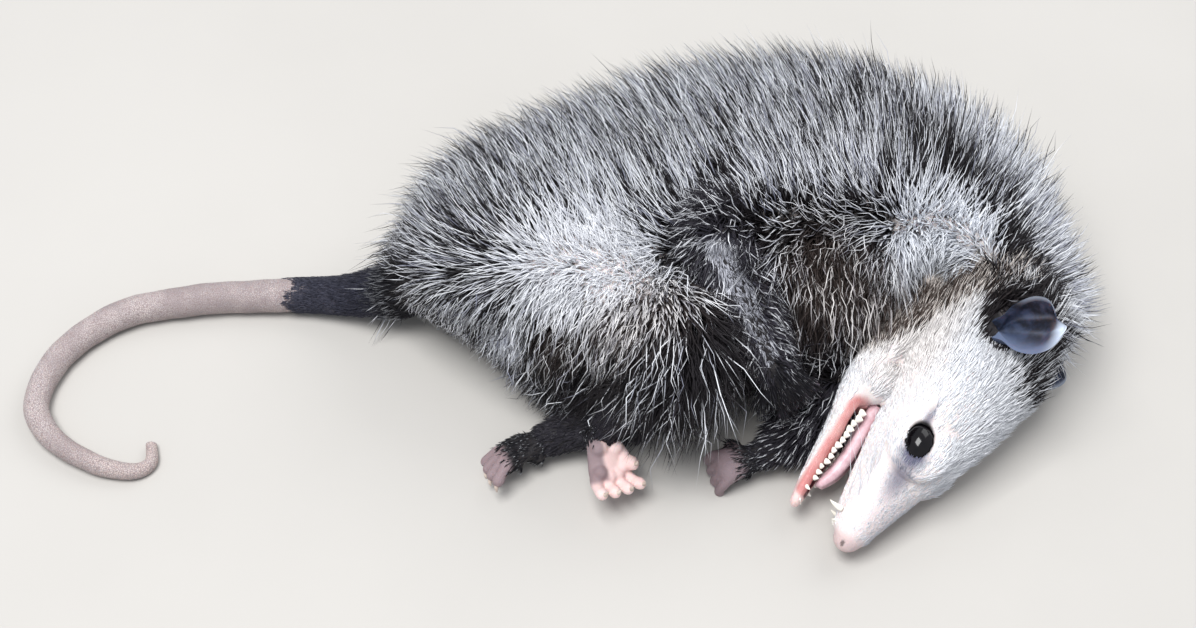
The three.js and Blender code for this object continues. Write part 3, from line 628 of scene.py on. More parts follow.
class Look:
    """A material made of nodes."""

    def __init__(self, name, **values):
        self.material = bpy.data.materials.new(name)
        self.material.use_nodes = True
        self.tree = self.material.node_tree
        self.shader = self.tree.nodes["Principled BSDF"]
        self.put(self.shader, {key.replace("_", " "): value for key, value in values.items()})

    def put(self, node, inputs):
        """Sets the inputs of a node, or links them where the value is a socket."""
        for key, value in inputs.items():
            if isinstance(value, bpy.types.NodeSocket):
                self.tree.links.new(value, node.inputs[key])
            elif value is not None:
                node.inputs[key].default_value = value

    def node(self, kind, output, inputs, **settings):
        """The output of a new node with these inputs and settings."""
        made = self.tree.nodes.new("ShaderNode" + kind)
        for key, value in settings.items():
            setattr(made, key, value)
        self.put(made, inputs)
        return made.outputs[output]

    def read(self, name):
        return self.node("Attribute", "Fac", {}, attribute_name=name)

    def noise(self, scale, detail):
        where = self.node("TexCoord", "Object", {})
        inputs = {"Vector": where, "Scale": scale, "Detail": detail, "Roughness": 0.55}
        return self.node("TexNoise", "Fac", inputs)

    def cells(self, scale):
        inputs = {"Vector": self.node("TexCoord", "Object", {}), "Scale": scale}
        return self.node("TexVoronoi", "Distance", inputs, feature="DISTANCE_TO_EDGE")

    def math(self, kind, *values):
        return self.node("Math", 0, dict(enumerate(values)), operation=kind)

    def span(self, *values):
        """A smooth rise from 0 to 1 as the first value goes from the second to the third."""
        return self.node("MapRange", "Result", dict(enumerate(values)), interpolation_type="SMOOTHSTEP")

    def mix(self, share, a, b):
        return self.node("Mix", 2, {0: share, 6: a, 7: b}, data_type="RGBA")

    def bump(self, height, strength, distance):
        inputs = {"Height": height, "Strength": strength, "Distance": distance * MM}
        return self.node("Bump", "Normal", inputs)

    def finish(self, colour, normal=None, rough=None):
        self.put(self.shader, {"Base Color": colour, "Normal": normal, "Roughness": rough})
        return self.material


# Values that the coat carries: share of the way to the tip, pale, warm, chance of each tuft, grey shade,
# which also carries painted shade on top of the muzzle and the painted sheen on the right forearm.
COAT_KEYS = ("reach", "pale", "warm", "luck", "shade")


def coat_look():
    look = Look("opossum_hair", Roughness=0.5, Specular_IOR_Level=0.22)
    reach, pale, warm, luck, shade = (look.read(key) for key in COAT_KEYS)
    start = look.math("MULTIPLY_ADD", pale, -1.15, 0.98)
    start = look.math("MULTIPLY_ADD", luck, 0.22, start)
    light = look.span(reach, start, look.math("ADD", start, 0.3))
    dark = look.mix(warm, rgb(27, 26, 31), rgb(92, 79, 72))
    white = look.mix(warm, rgb(247, 250, 255), rgb(232, 218, 205))
    grey = look.mix(warm, rgb(132, 136, 156), rgb(150, 134, 124))
    white = look.mix(luck, white, grey)
    return look.finish(look.mix(shade, look.mix(light, dark, white), rgb(104, 106, 128)))


# Values that the skin carries: pale coat, bare skin, wet mouth, tail and the way along it, black rims of the
# eyes and painted shade in the nostrils, dusk of bare skin, painted shade deep in the mouth, grey marks of
# the face with painted shade on top of the muzzle.
SKIN_KEYS = ("pale", "bare", "wet", "tail", "run", "rim", "dusk", "deep", "shade")


def skin_look():
    look = Look(
        "opossum_skin", Roughness=0.55, Specular_IOR_Level=0.4, Subsurface_Weight=0.12,
        Subsurface_Radius=(0.0022, 0.0009, 0.0005),
    )
    pale, bare, wet, tail_share, run, rim, dusk, deep, shade = (look.read(key) for key in SKIN_KEYS)
    fine, broad = look.noise(900, 4), look.noise(60, 3)
    under = look.mix(pale, rgb(34, 31, 34), rgb(236, 226, 224))
    pink = look.mix(broad, rgb(238, 198, 194), rgb(252, 230, 226))
    purple = look.mix(broad, rgb(66, 58, 70), rgb(104, 90, 104))
    # dusk: the purple of bare skin; on the right hand it also holds painted shade.
    flesh = look.mix(dusk, pink, purple)
    colour = look.mix(bare, under, flesh)
    mouth = look.mix(look.span(broad, 0.35, 0.7), rgb(206, 128, 126), rgb(222, 168, 164))
    # deep: painted shade inside the mouth, darkest deep in it.
    mouth = look.mix(deep, mouth, rgb(92, 38, 44))
    colour = look.mix(wet, colour, mouth)
    pads = look.span(look.cells(1300), 0.0, 0.2)
    scales = look.mix(look.span(broad, 0.3, 0.72), rgb(158, 146, 146), rgb(196, 184, 182))
    scales = look.mix(look.span(run, 190, 300), scales, rgb(204, 188, 182))
    scales = look.mix(look.math("SUBTRACT", 1.0, pads), scales, rgb(140, 126, 126))
    scales = look.mix(dusk, scales, rgb(58, 56, 68))
    colour = look.mix(tail_share, colour, scales)
    # shade: grey marks of the face, with painted shade on top of the muzzle.
    colour = look.mix(shade, colour, rgb(104, 102, 122))
    # rim: the black skin round the eyes, and painted shade in the nostrils.
    colour = look.mix(rim, colour, rgb(18, 14, 17))
    height = look.math("ADD", look.math("MULTIPLY", fine, 0.5), pads)
    rough = look.math("MULTIPLY_ADD", wet, -0.3, 0.58)
    return look.finish(colour, look.bump(height, 0.55, 0.25), rough)


def plain_look(name, dark, light, scale, bump, **values):
    """A material of two tones in spots."""
    look = Look(name, **values)
    spots = look.span(look.noise(scale, 4), 0.3, 0.7)
    return look.finish(look.mix(spots, dark, light), look.bump(look.noise(scale * 6, 2), bump, 0.15))


def ear_look():
    look = Look("ear_leather", Roughness=0.7, Specular_IOR_Level=0.25, Subsurface_Weight=0.05)
    edge, dusk = look.read("edge"), look.read("dusk")
    body = look.mix(look.span(look.noise(180, 4), 0.35, 0.65), rgb(18, 22, 34), rgb(50, 60, 84))
    body = look.mix(dusk, body, rgb(110, 122, 150))
    # edge: the ear's pale tip, with painted highlights along its rim and on its folds.
    colour = look.mix(edge, body, rgb(214, 224, 240))
    return look.finish(colour, look.bump(look.noise(700, 3), 0.5, 0.25))


hair = coat_look()
LOOKS = {
    "skin": skin_look(),
    "ear": ear_look(),
    "eye": plain_look(
        "eye_dark", rgb(6, 5, 8), rgb(16, 12, 14), 300, 0.0,
        Roughness=0.12, Specular_IOR_Level=0.28, Coat_Weight=0.2,
    ),
    "tooth": plain_look("enamel", rgb(236, 230, 216), rgb(250, 247, 240), 350, 0.1, Roughness=0.25),
    "tongue": plain_look(
        "tongue", rgb(204, 164, 172), rgb(226, 196, 202), 300, 0.5, Roughness=0.45, Coat_Weight=0.2
    ),
    "claw": plain_look("claw_horn", rgb(176, 158, 146), rgb(216, 202, 190), 400, 0.1, Roughness=0.35),
}

# The skin, one piece from the nose to the tip of the tail.
skin_parts, skin_values = [], {key: [] for key in SKIN_KEYS}


def add_skin(points, faces, **given):
    skin_parts.append((points, faces))
    for key in SKIN_KEYS:
        skin_values[key].append(np.broadcast_to(given.get(key, 0.0), len(points)))


def head_skin():
    """Adds the head, with the wet mouth and painted shade deep inside it, the black rims of the eyes, painted
    shade in the nostrils, and the bare nose and lips.
    """
    p = to_head(head_points)
    wet, deep = np.zeros((2, len(p)))
    rim, corner = fall(rim_share(p), 0.9, 1.12), fall(p[:, 0], 70, 78)
    for hollow, edge in ((palate, 1.12), (mouth_floor, 1.3)):
        share = hollow.locate(p, 60)[2]
        row_ok = rise(p[:, 0] - hollow.rows[0, 0], -4.5, 0.5) * (p[:, 0] < hollow.rows[-1, 0] + 4)
        wet = np.maximum(wet, row_ok * fall(share, edge - 0.12, edge + 0.12))
        # deep is painted shade: the inside of the mouth darkens away from its opening, less so towards its
        # back corner.
        deep = np.maximum(deep, row_ok * fall(share, 0.98, 1.12) * (1 - 0.8 * corner))
    wet = np.maximum(wet, 0.95 * fall(lip_share(p), 0.7, 1.25))
    nose = rise(p[:, 0], 118, 122.5) * (p[:, 1] > -18)
    muzzle = rise(p[:, 0], 92, 112)
    jaw_rim = rise(p[:, 0], 96, 112) * fall(p[:, 1], -22, -17)
    # The nostrils' openings are darkened with painted shade, carried in rim at 0.7.
    for side in (1, -1):
        away = np.linalg.norm((p - mirrored(NOSTRIL[0], side)) / NOSTRIL[1], axis=1)
        rim = np.maximum(rim, 0.7 * fall(away, 0.8, 1.2))
    add_skin(
        head_points, head_quads, pale=1 - ear_dark(p), wet=wet, rim=rim, deep=deep,
        bare=np.maximum.reduce([0.8 * nose, 0.25 * muzzle, jaw_rim]), dusk=0.3 * nose, shade=face_shade(p),
    )


add_skin(*trunk, pale=np.clip(marks(trunk[0])[0] * 1.25 - 0.55, 0, 1))
head_skin()
for name, root, axes, points, quads in paws:
    off = (points - root) @ axes.T
    dusk = LEGS[name]["dusk"]
    if name == "hindleg_right":
        # The pads and toes of this foot are turned up and pink.
        raised = rise(-off[:, 2], 2.6, 4.4) * rise(off[:, 1], -4.5, -2.0)
        dusk = dusk * (1 - np.maximum(raised, rise(off[:, 0], 15, 18)))
    add_skin(points, quads, bare=rise(off[:, 0], *LEGS[name]["bare"]), dusk=dusk)
tail_points, tail_faces, run, dark = tail_skin()
add_skin(tail_points, tail_faces, tail=1.0, run=run, dusk=dark)


def over_floor(points, faces):
    """The same shape with no point under the height of the skin over the floor."""
    points[:, 2] = np.maximum(points[:, 2], SKIN_HEIGHT)
    return points, faces


skin_mesh = mesh_of("skin", *over_floor(*joined(skin_parts)))
paint(skin_mesh, {key: np.concatenate(parts) for key, parts in skin_values.items()})
flesh_nodes = ["torso", "neck", "head", "lower_jaw", "tail_base", "tail_middle", "tail_end"]
flesh_nodes += list(LEGS) + [leg["node"] for leg in LEGS.values()]
piece("skin", skin_mesh, LOOKS["skin"], "pink_skin", flesh_nodes)
piece("claws", mesh_of("claws", *over_floor(*joined(claws))), LOOKS["claw"], "claw")

# Eyes, tongue and teeth.
for side, name in ((1, "eye_right"), (-1, "eye_left")):
    points, faces = eye_ball(side, EYE_BALL, sides=48, rings=30)
    piece(name + "_ball", mesh_of(name, from_head(points), faces), LOOKS["eye"], "eye", [name])
points, faces = loft(tongue, 28, 40, bulge=(1, 1.5))
points[:, 1] -= 0.9 * np.exp(-((points[:, 2] / 1.2) ** 2)) * (points[:, 1] > -25)
tongue_mesh = mesh_of("tongue", from_head(points), faces)
piece("tongue_flesh", tongue_mesh, LOOKS["tongue"], "mouth_skin", ["tongue"])


def tooth(foot, tip, radius, curve=0.0):
    """A pointed tooth that may curve back towards its tip."""
    foot, tip = np.array(foot, float), np.array(tip, float)
    rows = []
    for t, r in ((-0.15, 0.95), (0.15, 1.0), (0.45, 0.82), (0.75, 0.5), (1.0, 0.12)):
        centre = foot + (tip - foot) * t + [curve * t * (1 - t), 0, 0]
        rows.append([*centre, radius * r])
    points, faces = loft(Body(rows, (1, 0, 0.2)), 12, 14, bulge=(0.2, 0.15))
    return from_head(points), faces


teeth = []
for side in (1, -1):
    for k in range(CHEEK_TEETH):
        t = k / (CHEEK_TEETH - 1)
        x, y, z = 75.5 + 32 * t, -25.0 - 1.8 * t + 0.3 * math.sin(1.7 * k), side * (8.6 - 3.9 * t)
        high = 2.2 + 0.5 * math.sin(2.3 * k + 0.4) - 0.6 * t
        teeth.append(tooth([x, y, z], [x - 0.5, y + high, z + side * 0.3], 1.75 - 0.6 * t))
        x, y, z = 74 + 31 * t, -14.5 + 4.6 * t, side * (7.2 - 2.2 * t)
        teeth.append(tooth([x, y, z], [x, y - 4.0, z], 1.5 - 0.3 * t))
    teeth.append(tooth([112, -27.5, side * 4.2], [112.6, -25.2, side * 4.5], 0.9, 0.5))
    teeth.append(tooth([113, -10.5, side * 6.2], [112.4, -15.8, side * 6.9], 1.15, 0.9))
    for k in range(3):
        z = side * (0.8 + 1.4 * k)
        teeth.append(tooth([118 - k * 0.6, -8.5, z], [118, -11.6, z], 0.7))
        z = side * (0.6 + 1.1 * k)
        teeth.append(tooth([118 - k * 0.5, -27.5, z], [118.3, -26.2, z], 0.5))
piece("teeth", mesh_of("teeth", *joined(teeth)), LOOKS["tooth"], "tooth")


def ear_piece(name, root, ahead, cup, size):
    """One ear: a thin leaf rolled into a cup, with folds inside."""
    axis = unit(ahead)
    front = unit(cup - axis * (axis @ cup))
    wide = np.cross(axis, front)
    rings, steps = 60, 40
    points, edge, dusk = [], [], []
    for sheet in (0, 1):
        for r in range(rings):
            share = r / (rings - 1)
            reach, half_wide, roll, thick, hollow = along(EAR, share * (len(EAR) - 1))[0]
            reach, half_wide, hollow = reach * size, half_wide * size, hollow * size
            arc = half_wide / math.sin(min(roll, math.pi / 2))
            for k in range(steps):
                t = 2 * k / (steps - 1) - 1
                angle = t * roll
                rim = min(1, 6 * (1 - abs(t)), 5 * (1 - share) + 0.2)
                ridge = sum(math.exp(-(((t - at - 0.35 * share) / 0.07) ** 2)) for at in (-0.5, -0.05))
                ridge *= math.exp(-(((share - 0.5) / 0.3) ** 2))
                wave = math.sin(15 * share + 6 * t) * (1 - abs(t)) * rise(share, 0.2, 0.6)
                radius = arc - (thick * rim if sheet else 0) + (1.1 * wave - ridge) * rim
                high = reach * (1 - 0.17 * rise(-t, -0.3, 0.9) * share**2) + 0.6 * math.sin(5 * t) * share
                points.append(
                    root + axis * high + wide * radius * math.sin(angle)
                    + front * (arc - hollow - radius * math.cos(angle))
                )
                bright = rise(share, 0.52, 0.8) * rise(t, -0.3, 0.25) * (1 - 0.5 * rise(t, 0.6, 0.95))
                # bright is the ear's pale tip. rim_light and the ridges' share are painted highlights: a
                # light line along the top rim and on the folds of the glossy leather.
                rim_light = 0.35 * rise(-t, 0.84, 0.96) * rise(share, 0.3, 0.5)
                edge.append(max(bright, rim_light, 0.08 * ridge * sheet))
                dusk.append(float(rise(t, 0.1, 0.8)) * (0.9 if sheet else 0.3))
    faces, layer = [], rings * steps
    for r in range(rings - 1):
        for k in range(steps - 1):
            a, b = r * steps + k, (r + 1) * steps + k
            faces.append((a, a + 1, b + 1, b))
            faces.append((layer + a, layer + b, layer + b + 1, layer + a + 1))
    last = (rings - 1) * steps
    border = [*range(steps), *range(2 * steps - 1, layer, steps)]
    border += [*range(last + steps - 2, last - 1, -1), *range(last - steps, 0, -steps)]
    for a, b in zip(border, border[1:] + border[:1]):
        faces.append((b, a, layer + a, layer + b))
    mesh = mesh_of(name, from_head(np.array(points)), faces)
    face_out(mesh)
    paint(mesh, {"edge": edge, "dusk": dusk})
    made = piece(name + "_leather", mesh, LOOKS["ear"], "ear_skin", [name])
    made.modifiers.new("finer", "SUBSURF").render_levels = 1


for name, ear in EARS.items():
    ear_piece(name, *ear)

# The coat: tufts of three sides that taper to a point, rooted in the skin.
SIDES = 3
PATCH = 0.003  # size of a tuft's patch on the unwrap
UNWRAP_EDGE = 0.01  # bare edge of the unwrap
# The tips may stand a little way over the solids' box: beyond the soft limit they are pressed back.
SOFTEN = 6.0
OVER_SHARE, OVER_BOX = 0.03, 8.5
cad_size = np.array(cad_high - cad_low) / MM
SOFT_LIMIT = np.array(cad_high) / MM - SHIFT + OVER_SHARE * cad_size + OVER_BOX - SOFTEN


def roots_on(points, quads, weight, count, rng):
    """Random places on the skin, with the way straight out, as dense as the weight says."""
    normal = normals_of(points, quads)
    corner = points[quads]
    area = np.linalg.norm(np.cross(corner[:, 2] - corner[:, 0], corner[:, 3] - corner[:, 1]), axis=1) / 2
    share = area * weight(corner.mean(1), unit(normal[quads].mean(1)))
    pick = quads[rng.choice(len(quads), count, p=share / share.sum())]
    u, v = rng.random((2, count, 1))
    spread = (1 - u) * (1 - v), u * (1 - v), u * v, (1 - u) * v
    place = sum(s * points[pick[:, k]] for k, s in enumerate(spread))
    return place, unit(sum(s * normal[pick[:, k]] for k, s in enumerate(spread)))


def grow(root, out, lie, length, lift, nodes, rng, bend=0.55, curl=0.0, droop=0.0, stray=0.12,
         clump=0.0, cell=5.0, sunk=1.0):
    """Paths of tufts that rise at an angle from the skin and bend into the lie."""
    n = len(root)
    lie = unit(lie - out * (lie * out).sum(1)[:, None])
    lie = unit(lie + np.cross(out, lie) * (rng.normal(0, 2, n) * stray)[:, None])
    lift = np.broadcast_to(lift, n) * (1 + rng.normal(0, 1, n) * stray)
    across = np.cross(out, lie)
    phase, pace = rng.random(n) * TURN, 3 + 4 * rng.random(n)
    path = np.empty((n, nodes, 3))
    path[:, 0] = root - out * sunk
    step = np.broadcast_to(length, n) / (nodes - 1)
    for k in range(1, nodes):
        t = (k - 0.5) / (nodes - 1)
        angle = np.clip(lift * (1.15 - bend * t), 0.06, 1.5)
        way = out * np.sin(angle)[:, None] + lie * np.cos(angle)[:, None]
        swing = (curl * np.sin(phase + pace * t * 2))[:, None] * across
        swing = swing + (0.6 * curl * np.cos(phase * 1.7 + pace * t * 2))[:, None] * out
        path[:, k] = path[:, k - 1] + unit(way + swing) * step[:, None]
    t = np.linspace(0, 1, nodes)
    path[:, :, 2] -= (np.broadcast_to(droop, n) * np.broadcast_to(length, n))[:, None] * t**2
    if np.any(clump):
        key = np.floor((root + rng.normal(0, cell * 0.22, (n, 3))) / cell).astype(int)
        _, group = np.unique(key, axis=0, return_inverse=True)
        group = group.ravel()
        size = np.bincount(group)
        gather = (np.broadcast_to(clump, n)[:, None] * t**1.4)[:, :, None]
        mean = [[np.bincount(group, path[:, k, c]) / size for c in range(3)] for k in range(nodes)]
        path = path * (1 - gather) + np.array(mean).transpose(2, 0, 1)[group] * gather
    return path


def kept_off(path, bodies, room):
    """Bends tufts out of other bodies, and says which stay: those that are not rooted in them."""
    keep = np.ones(len(path), bool)
    for body in bodies:
        places = np.linspace(0, body.end, 14 * body.end)
        centres = body.centre(places)
        radii = along(body.rows, places)[:, 3:7].min(1) + room
        low, high = centres.min(0) - radii.max(), centres.max(0) + radii.max()
        near = ((path > low) & (path < high)).all(2).any(1)
        part = path[near]
        rows = np.arange(len(part))
        for k in range(part.shape[1]):
            off = part[:, k, None, :] - centres[None]
            far = np.linalg.norm(off, axis=2) / radii
            worst = far.argmin(1)
            if k == 1:
                keep[np.where(near)[0][far[rows, worst] < 0.75]] = False
            inside = far[rows, worst] < 1
            push = centres[worst] + unit(off[rows, worst]) * radii[worst][:, None]
            part[inside, k] = push[inside]
        path[near] = part
    return keep


def profile(nodes, full):
    """Widths of a tuft at its rings, from the root to the last ring before the tip."""
    t = np.linspace(0, 1, nodes)[:-1]
    return full[:, None] * (0.8 + 0.35 * np.sin(math.pi * np.minimum(t * 1.6, 1)) - 0.45 * t**2)


def tufts(path, width, flat):
    """Points of tufts round their paths: rings of three, then the tip."""
    n, nodes, _ = path.shape
    path[:, :, 2] = np.maximum(path[:, :, 2], HAIR_HEIGHT)
    over = np.maximum(path - SOFT_LIMIT, 0)
    path = path - over + SOFTEN * np.tanh(over / SOFTEN)
    way = unit(np.diff(path, axis=1))
    way = unit(np.concatenate([way[:, :1], way[:, :-1] + way[:, 1:]], axis=1))
    hint = unit(np.cross(path[:, -1] - path[:, 0], [0.31, 0.17, 0.93]))[:, None, :]
    one = unit(np.cross(way, np.cross(hint, way)))
    two = np.cross(way, one) * flat
    last = (nodes - 1) * SIDES
    half = profile(nodes, width)[:, :, None] / 2
    points = np.empty((n, last + 1, 3))
    for j in range(SIDES):
        a = TURN * j / SIDES
        points[:, j:last:SIDES] = path[:, :-1] + half * (math.cos(a) * one + math.sin(a) * two)
    points[:, -1] = path[:, -1]
    points[:, :, 2] = np.maximum(points[:, :, 2], SKIN_HEIGHT)
    return points


def pattern(nodes):
    """Corners, face starts, patch coordinates and reach of one tuft."""
    rings = nodes - 1
    faces, spots = [(0, 2, 1)], [(0, 0), (1, 0), (0.5, 0)]
    for k in range(rings):
        for j in range(SIDES):
            here, after = k * SIDES + j, k * SIDES + (j + 1) % SIDES
            a, b, low, high = j / SIDES, (j + 1) / SIDES, k / rings, (k + 1) / rings
            spots += [(a, low), (b, low)]
            if k < rings - 1:
                faces.append((here, after, after + SIDES, here + SIDES))
                spots += [(b, high), (a, high)]
            else:
                faces.append((here, after, rings * SIDES))
                spots.append(((a + b) / 2, 1))
    starts = np.cumsum([0] + [len(face) for face in faces[:-1]])
    reach = np.append(np.repeat(np.arange(rings) / rings, SIDES), 1.0)
    return np.concatenate(faces), starts, np.array(spots), reach


def coat_piece(name, slot, batches):
    """One piece of the coat. A batch gives paths, widths, how pale and warm, places on the unwrap, a source
    of chance, flatness, how far chance greys the white, and a grey shade."""
    points, corners, starts, uv = [], [], [], []
    values = {key: [] for key in COAT_KEYS}
    points_count = corners_count = 0
    for path, width, pale, warm, place, rng, flat, dull, shade in batches:
        n, nodes, _ = path.shape
        points.append(tufts(path, width, flat))
        each = points[-1].shape[1]
        tuft_corners, tuft_starts, spots, reach = pattern(nodes)
        tuft = np.arange(n)[:, None]
        corners.append((points_count + tuft * each + tuft_corners).ravel())
        starts.append((corners_count + tuft * len(tuft_corners) + tuft_starts).ravel())
        uv.append((place[:, None, :] + (spots - 0.5) * PATCH).ravel())
        points_count += n * each
        corners_count += n * len(tuft_corners)
        luck = rng.random(n) ** 2.2 * dull
        values["reach"].append(np.tile(reach, n))
        for key, value in zip(COAT_KEYS[1:], (pale, warm, luck, shade)):
            values[key].append(np.repeat(np.broadcast_to(value, n), each))
    points = np.vstack([part.reshape(-1, 3) for part in points])
    corners, starts = np.concatenate(corners), np.concatenate(starts)
    mesh = bpy.data.meshes.new(name)
    mesh.vertices.add(points_count)
    mesh.vertices.foreach_set("co", ((points + SHIFT) * MM).ravel())
    mesh.loops.add(corners_count)
    mesh.loops.foreach_set("vertex_index", corners.astype(np.int32))
    mesh.polygons.add(len(starts))
    mesh.polygons.foreach_set("loop_start", starts.astype(np.int32))
    mesh.update(calc_edges=True)
    layer = mesh.uv_layers.new(name="OFBake")
    layer.uv.foreach_set("vector", np.concatenate(uv).astype(np.float32))
    paint(mesh, {key: np.concatenate(parts) for key, parts in values.items()})
    piece(name, mesh, hair, slot)


def unwrap(u, v, u_range, v_range):
    """Places on the skin's own unwrap, kept inside its square."""
    spots = [(value - low) / (high - low) for value, (low, high) in ((u, u_range), (v, v_range))]
    return UNWRAP_EDGE + (1 - 2 * UNWRAP_EDGE) * np.clip(np.stack(spots, 1), 0, 1)


def blend(angle, back, belly, right, left):
    """A value round the body from its values at the back, belly, right and left."""
    c, s = np.cos(angle), np.sin(angle)
    return c * c * np.where(c > 0, back, belly) + s * s * np.where(s > 0, right, left)


obstacles = [Body(leg["rows"][3:], leg["side"]) for leg in LEGS.values()]
obstacles.append(Body([[*from_head([r[0], r[1], 0]), *r[3:]] for r in SKULL], HEAD_Z))
forearm_line = limbs["foreleg_right"].centre(np.linspace(3.0, limbs["foreleg_right"].end, 30))
ARM_SHEEN_SIDE = unit([-0.083, -0.583, 0.808])  # straight out of the forearm's top side, where the sheen of its short black hair is painted


def near_forearm(points):
    """1 beside the right forearm, 0 away from it."""
    far = np.min([np.linalg.norm(points - p, axis=1) for p in forearm_line], axis=0)
    return fall(far, 9, 20)


def body_batch(count, places, kind, seed):
    """Tufts of one kind on the trunk and the thighs between two places along the spine."""
    rng = np.random.default_rng(seed)

    def weight(centre, normal):
        place, angle = on_spine(centre)
        inside = (place >= places[0]) & (place < places[1])
        seen = 0.25 + 0.75 * rise(normal @ [0.0, -0.25, 0.97], -0.75, 0.05)
        limb = np.zeros(len(centre), bool)
        for name, body in limbs.items():
            spot, _, share = body.locate(centre, 60)
            limb |= (share < 1.2) & (spot > LEGS[name]["coat"])
        if kind == "long":
            seen = seen * (0.45 + 0.55 * rise(angle, 1.9, 2.4) * fall(angle, 3.5, 4.1))
        return inside * seen * ~limb * (centre[:, 2] > 2.5)

    root, out = roots_on(*trunk, weight, count, rng)
    pale, warm, place, angle = marks(root)
    ahead, right, back, _ = spine.frame(place)
    c, s = np.cos(angle)[:, None], np.sin(angle)[:, None]
    round_way = right * c - back * s
    share = along(spine.rows, place)[:, 7]
    soft = np.maximum(patch(root, HIP), patch(root, SHOULDER))
    thigh, curls = patch(root, THIGH), patch(root, CURLS)
    belly = rise(angle, 2.2, 2.8) * fall(angle, 3.6, 4.2)
    flow = -0.2 - 0.6 * rise(angle, -0.3, 0.9) - 0.6 * rise(angle, 0.9, 1.5)
    flow += 2.5 * rise(angle, 1.75, 2.5)
    flow *= 0.35 + 0.65 * rise(place, 1.0, 3.6)
    lie = -ahead * 0.5 + round_way * flow[:, None]
    lift = blend(angle, 1.2, 0.8, 0.8, 0.35) * (0.42 + 0.58 * rise(place, 0.3, 3.3))
    lift = lift + 0.25 * curls + 0.35 * soft + 0.2 * np.exp(-(((angle - 0.8) / 0.35) ** 2))
    length = blend(angle, 50, 35, 31, 14) * (0.6 + 0.4 * share)
    length = length * (1 - 0.5 * soft) * (1 - 0.4 * curls) * (1 - 0.38 * thigh)
    length *= 1 - 0.45 * rise(angle, 1.9, 2.6) * fall(place, 2.4, 4.2)
    length *= 1 - 0.4 * rise(angle, 2.1, 2.7) * fall(place, 1.7, 2.6)
    length *= 1 - 0.3 * thigh * rise(root[:, 0], 20, 30)
    length *= 1 - 0.34 * rise(place, 9.2, 11)
    length *= 1 + 0.25 * fall(place, 1.6, 3.4) * fall(angle, 1.7, 2.1)
    length *= 1 - 0.35 * near_forearm(root)
    length *= 0.72 + 0.4 * rng.random(count)
    uv = unwrap(place, angle, places, (CUT, TURN + CUT))
    if kind == "under":
        path = grow(root, out, lie, length * 0.6, lift * 0.95, 4, rng, bend=0.5, curl=0.25 + 0.5 * curls,
                    clump=0.35, cell=6.0, droop=0.05)
        width, flat = 1.2 + 0.5 * rng.random(count), 0.5
        flank = rise(angle, 1.0, 1.4) * fall(angle, 1.9, 2.4)
        pale = pale * 0.9 - 0.3 + 0.4 * soft + 0.3 * thigh + 0.4 * patch(root, THROAT) + 0.15 * flank
    elif kind == "guard":
        path = grow(root, out, lie, length, lift, 4, rng, bend=0.6, curl=0.14 + 0.8 * curls + 0.35 * belly,
                    clump=0.4 * (1 - soft), cell=6.5, droop=0.06 + 0.1 * belly, stray=0.16 + 0.2 * soft)
        width, flat = (0.48 + 0.2 * rng.random(count)) * (0.8 + 0.2 * rise(pale, 0.1, 0.4)), 1.0
        light = rng.random(count) < 0.05 + 0.88 * pale
        pale = np.where(light, 0.5 + 0.4 * pale, 0.0) + rng.normal(0, 0.1, count)
    else:
        length = length * (0.9 + 0.25 * rng.random(count)) * (1 + 0.15 * belly)
        path = grow(root, out, lie, length, lift * 1.05, 5, rng, bend=0.7, curl=0.3 + 0.25 * belly,
                    clump=0.3, cell=9, droop=0.03 + 0.1 * belly, stray=0.3)
        width, flat = 0.38 + 0.2 * rng.random(count), 1.0
        pale = np.clip(np.where(rng.random(count) < 0.55, 0.75, 0.3) + rng.normal(0, 0.12, count), 0, 1.1)
    keep = kept_off(path, obstacles, 0.3)
    dull = 1 - 0.7 * soft
    return path[keep], width[keep], pale[keep], warm[keep], uv[keep], rng, flat, dull[keep], 0.0


# Pieces of the body's coat: places along the spine, counts of each kind of hair, seed.
KINDS = ("under", "guard", "long")
REGIONS = {
    "coat_rump": ((0.0, 2.9), (3900, 6100, 900), 11),
    "coat_loin": ((2.9, 4.6), (4500, 6700, 450), 12),
    "coat_side": ((4.6, 6.4), (4500, 6700, 450), 13),
    "coat_chest": ((6.4, 8.4), (4300, 6600, 650), 14),
    "coat_neck": ((8.4, 12.01), (4200, 6800, 700), 15),
}
for name, (places, counts, seed) in REGIONS.items():
    batches = [body_batch(n, places, kind, seed + 20 * k) for k, (kind, n) in enumerate(zip(KINDS, counts))]
    coat_piece(name, "grey_coat", batches)


def ear_gap(p, shift=(0, 0, 0)):
    """Distance from a place by the root of the nearer ear, in the head frame."""
    return np.min([np.linalg.norm(p - ear[0] - shift, axis=1) for ear in EARS.values()], axis=0)


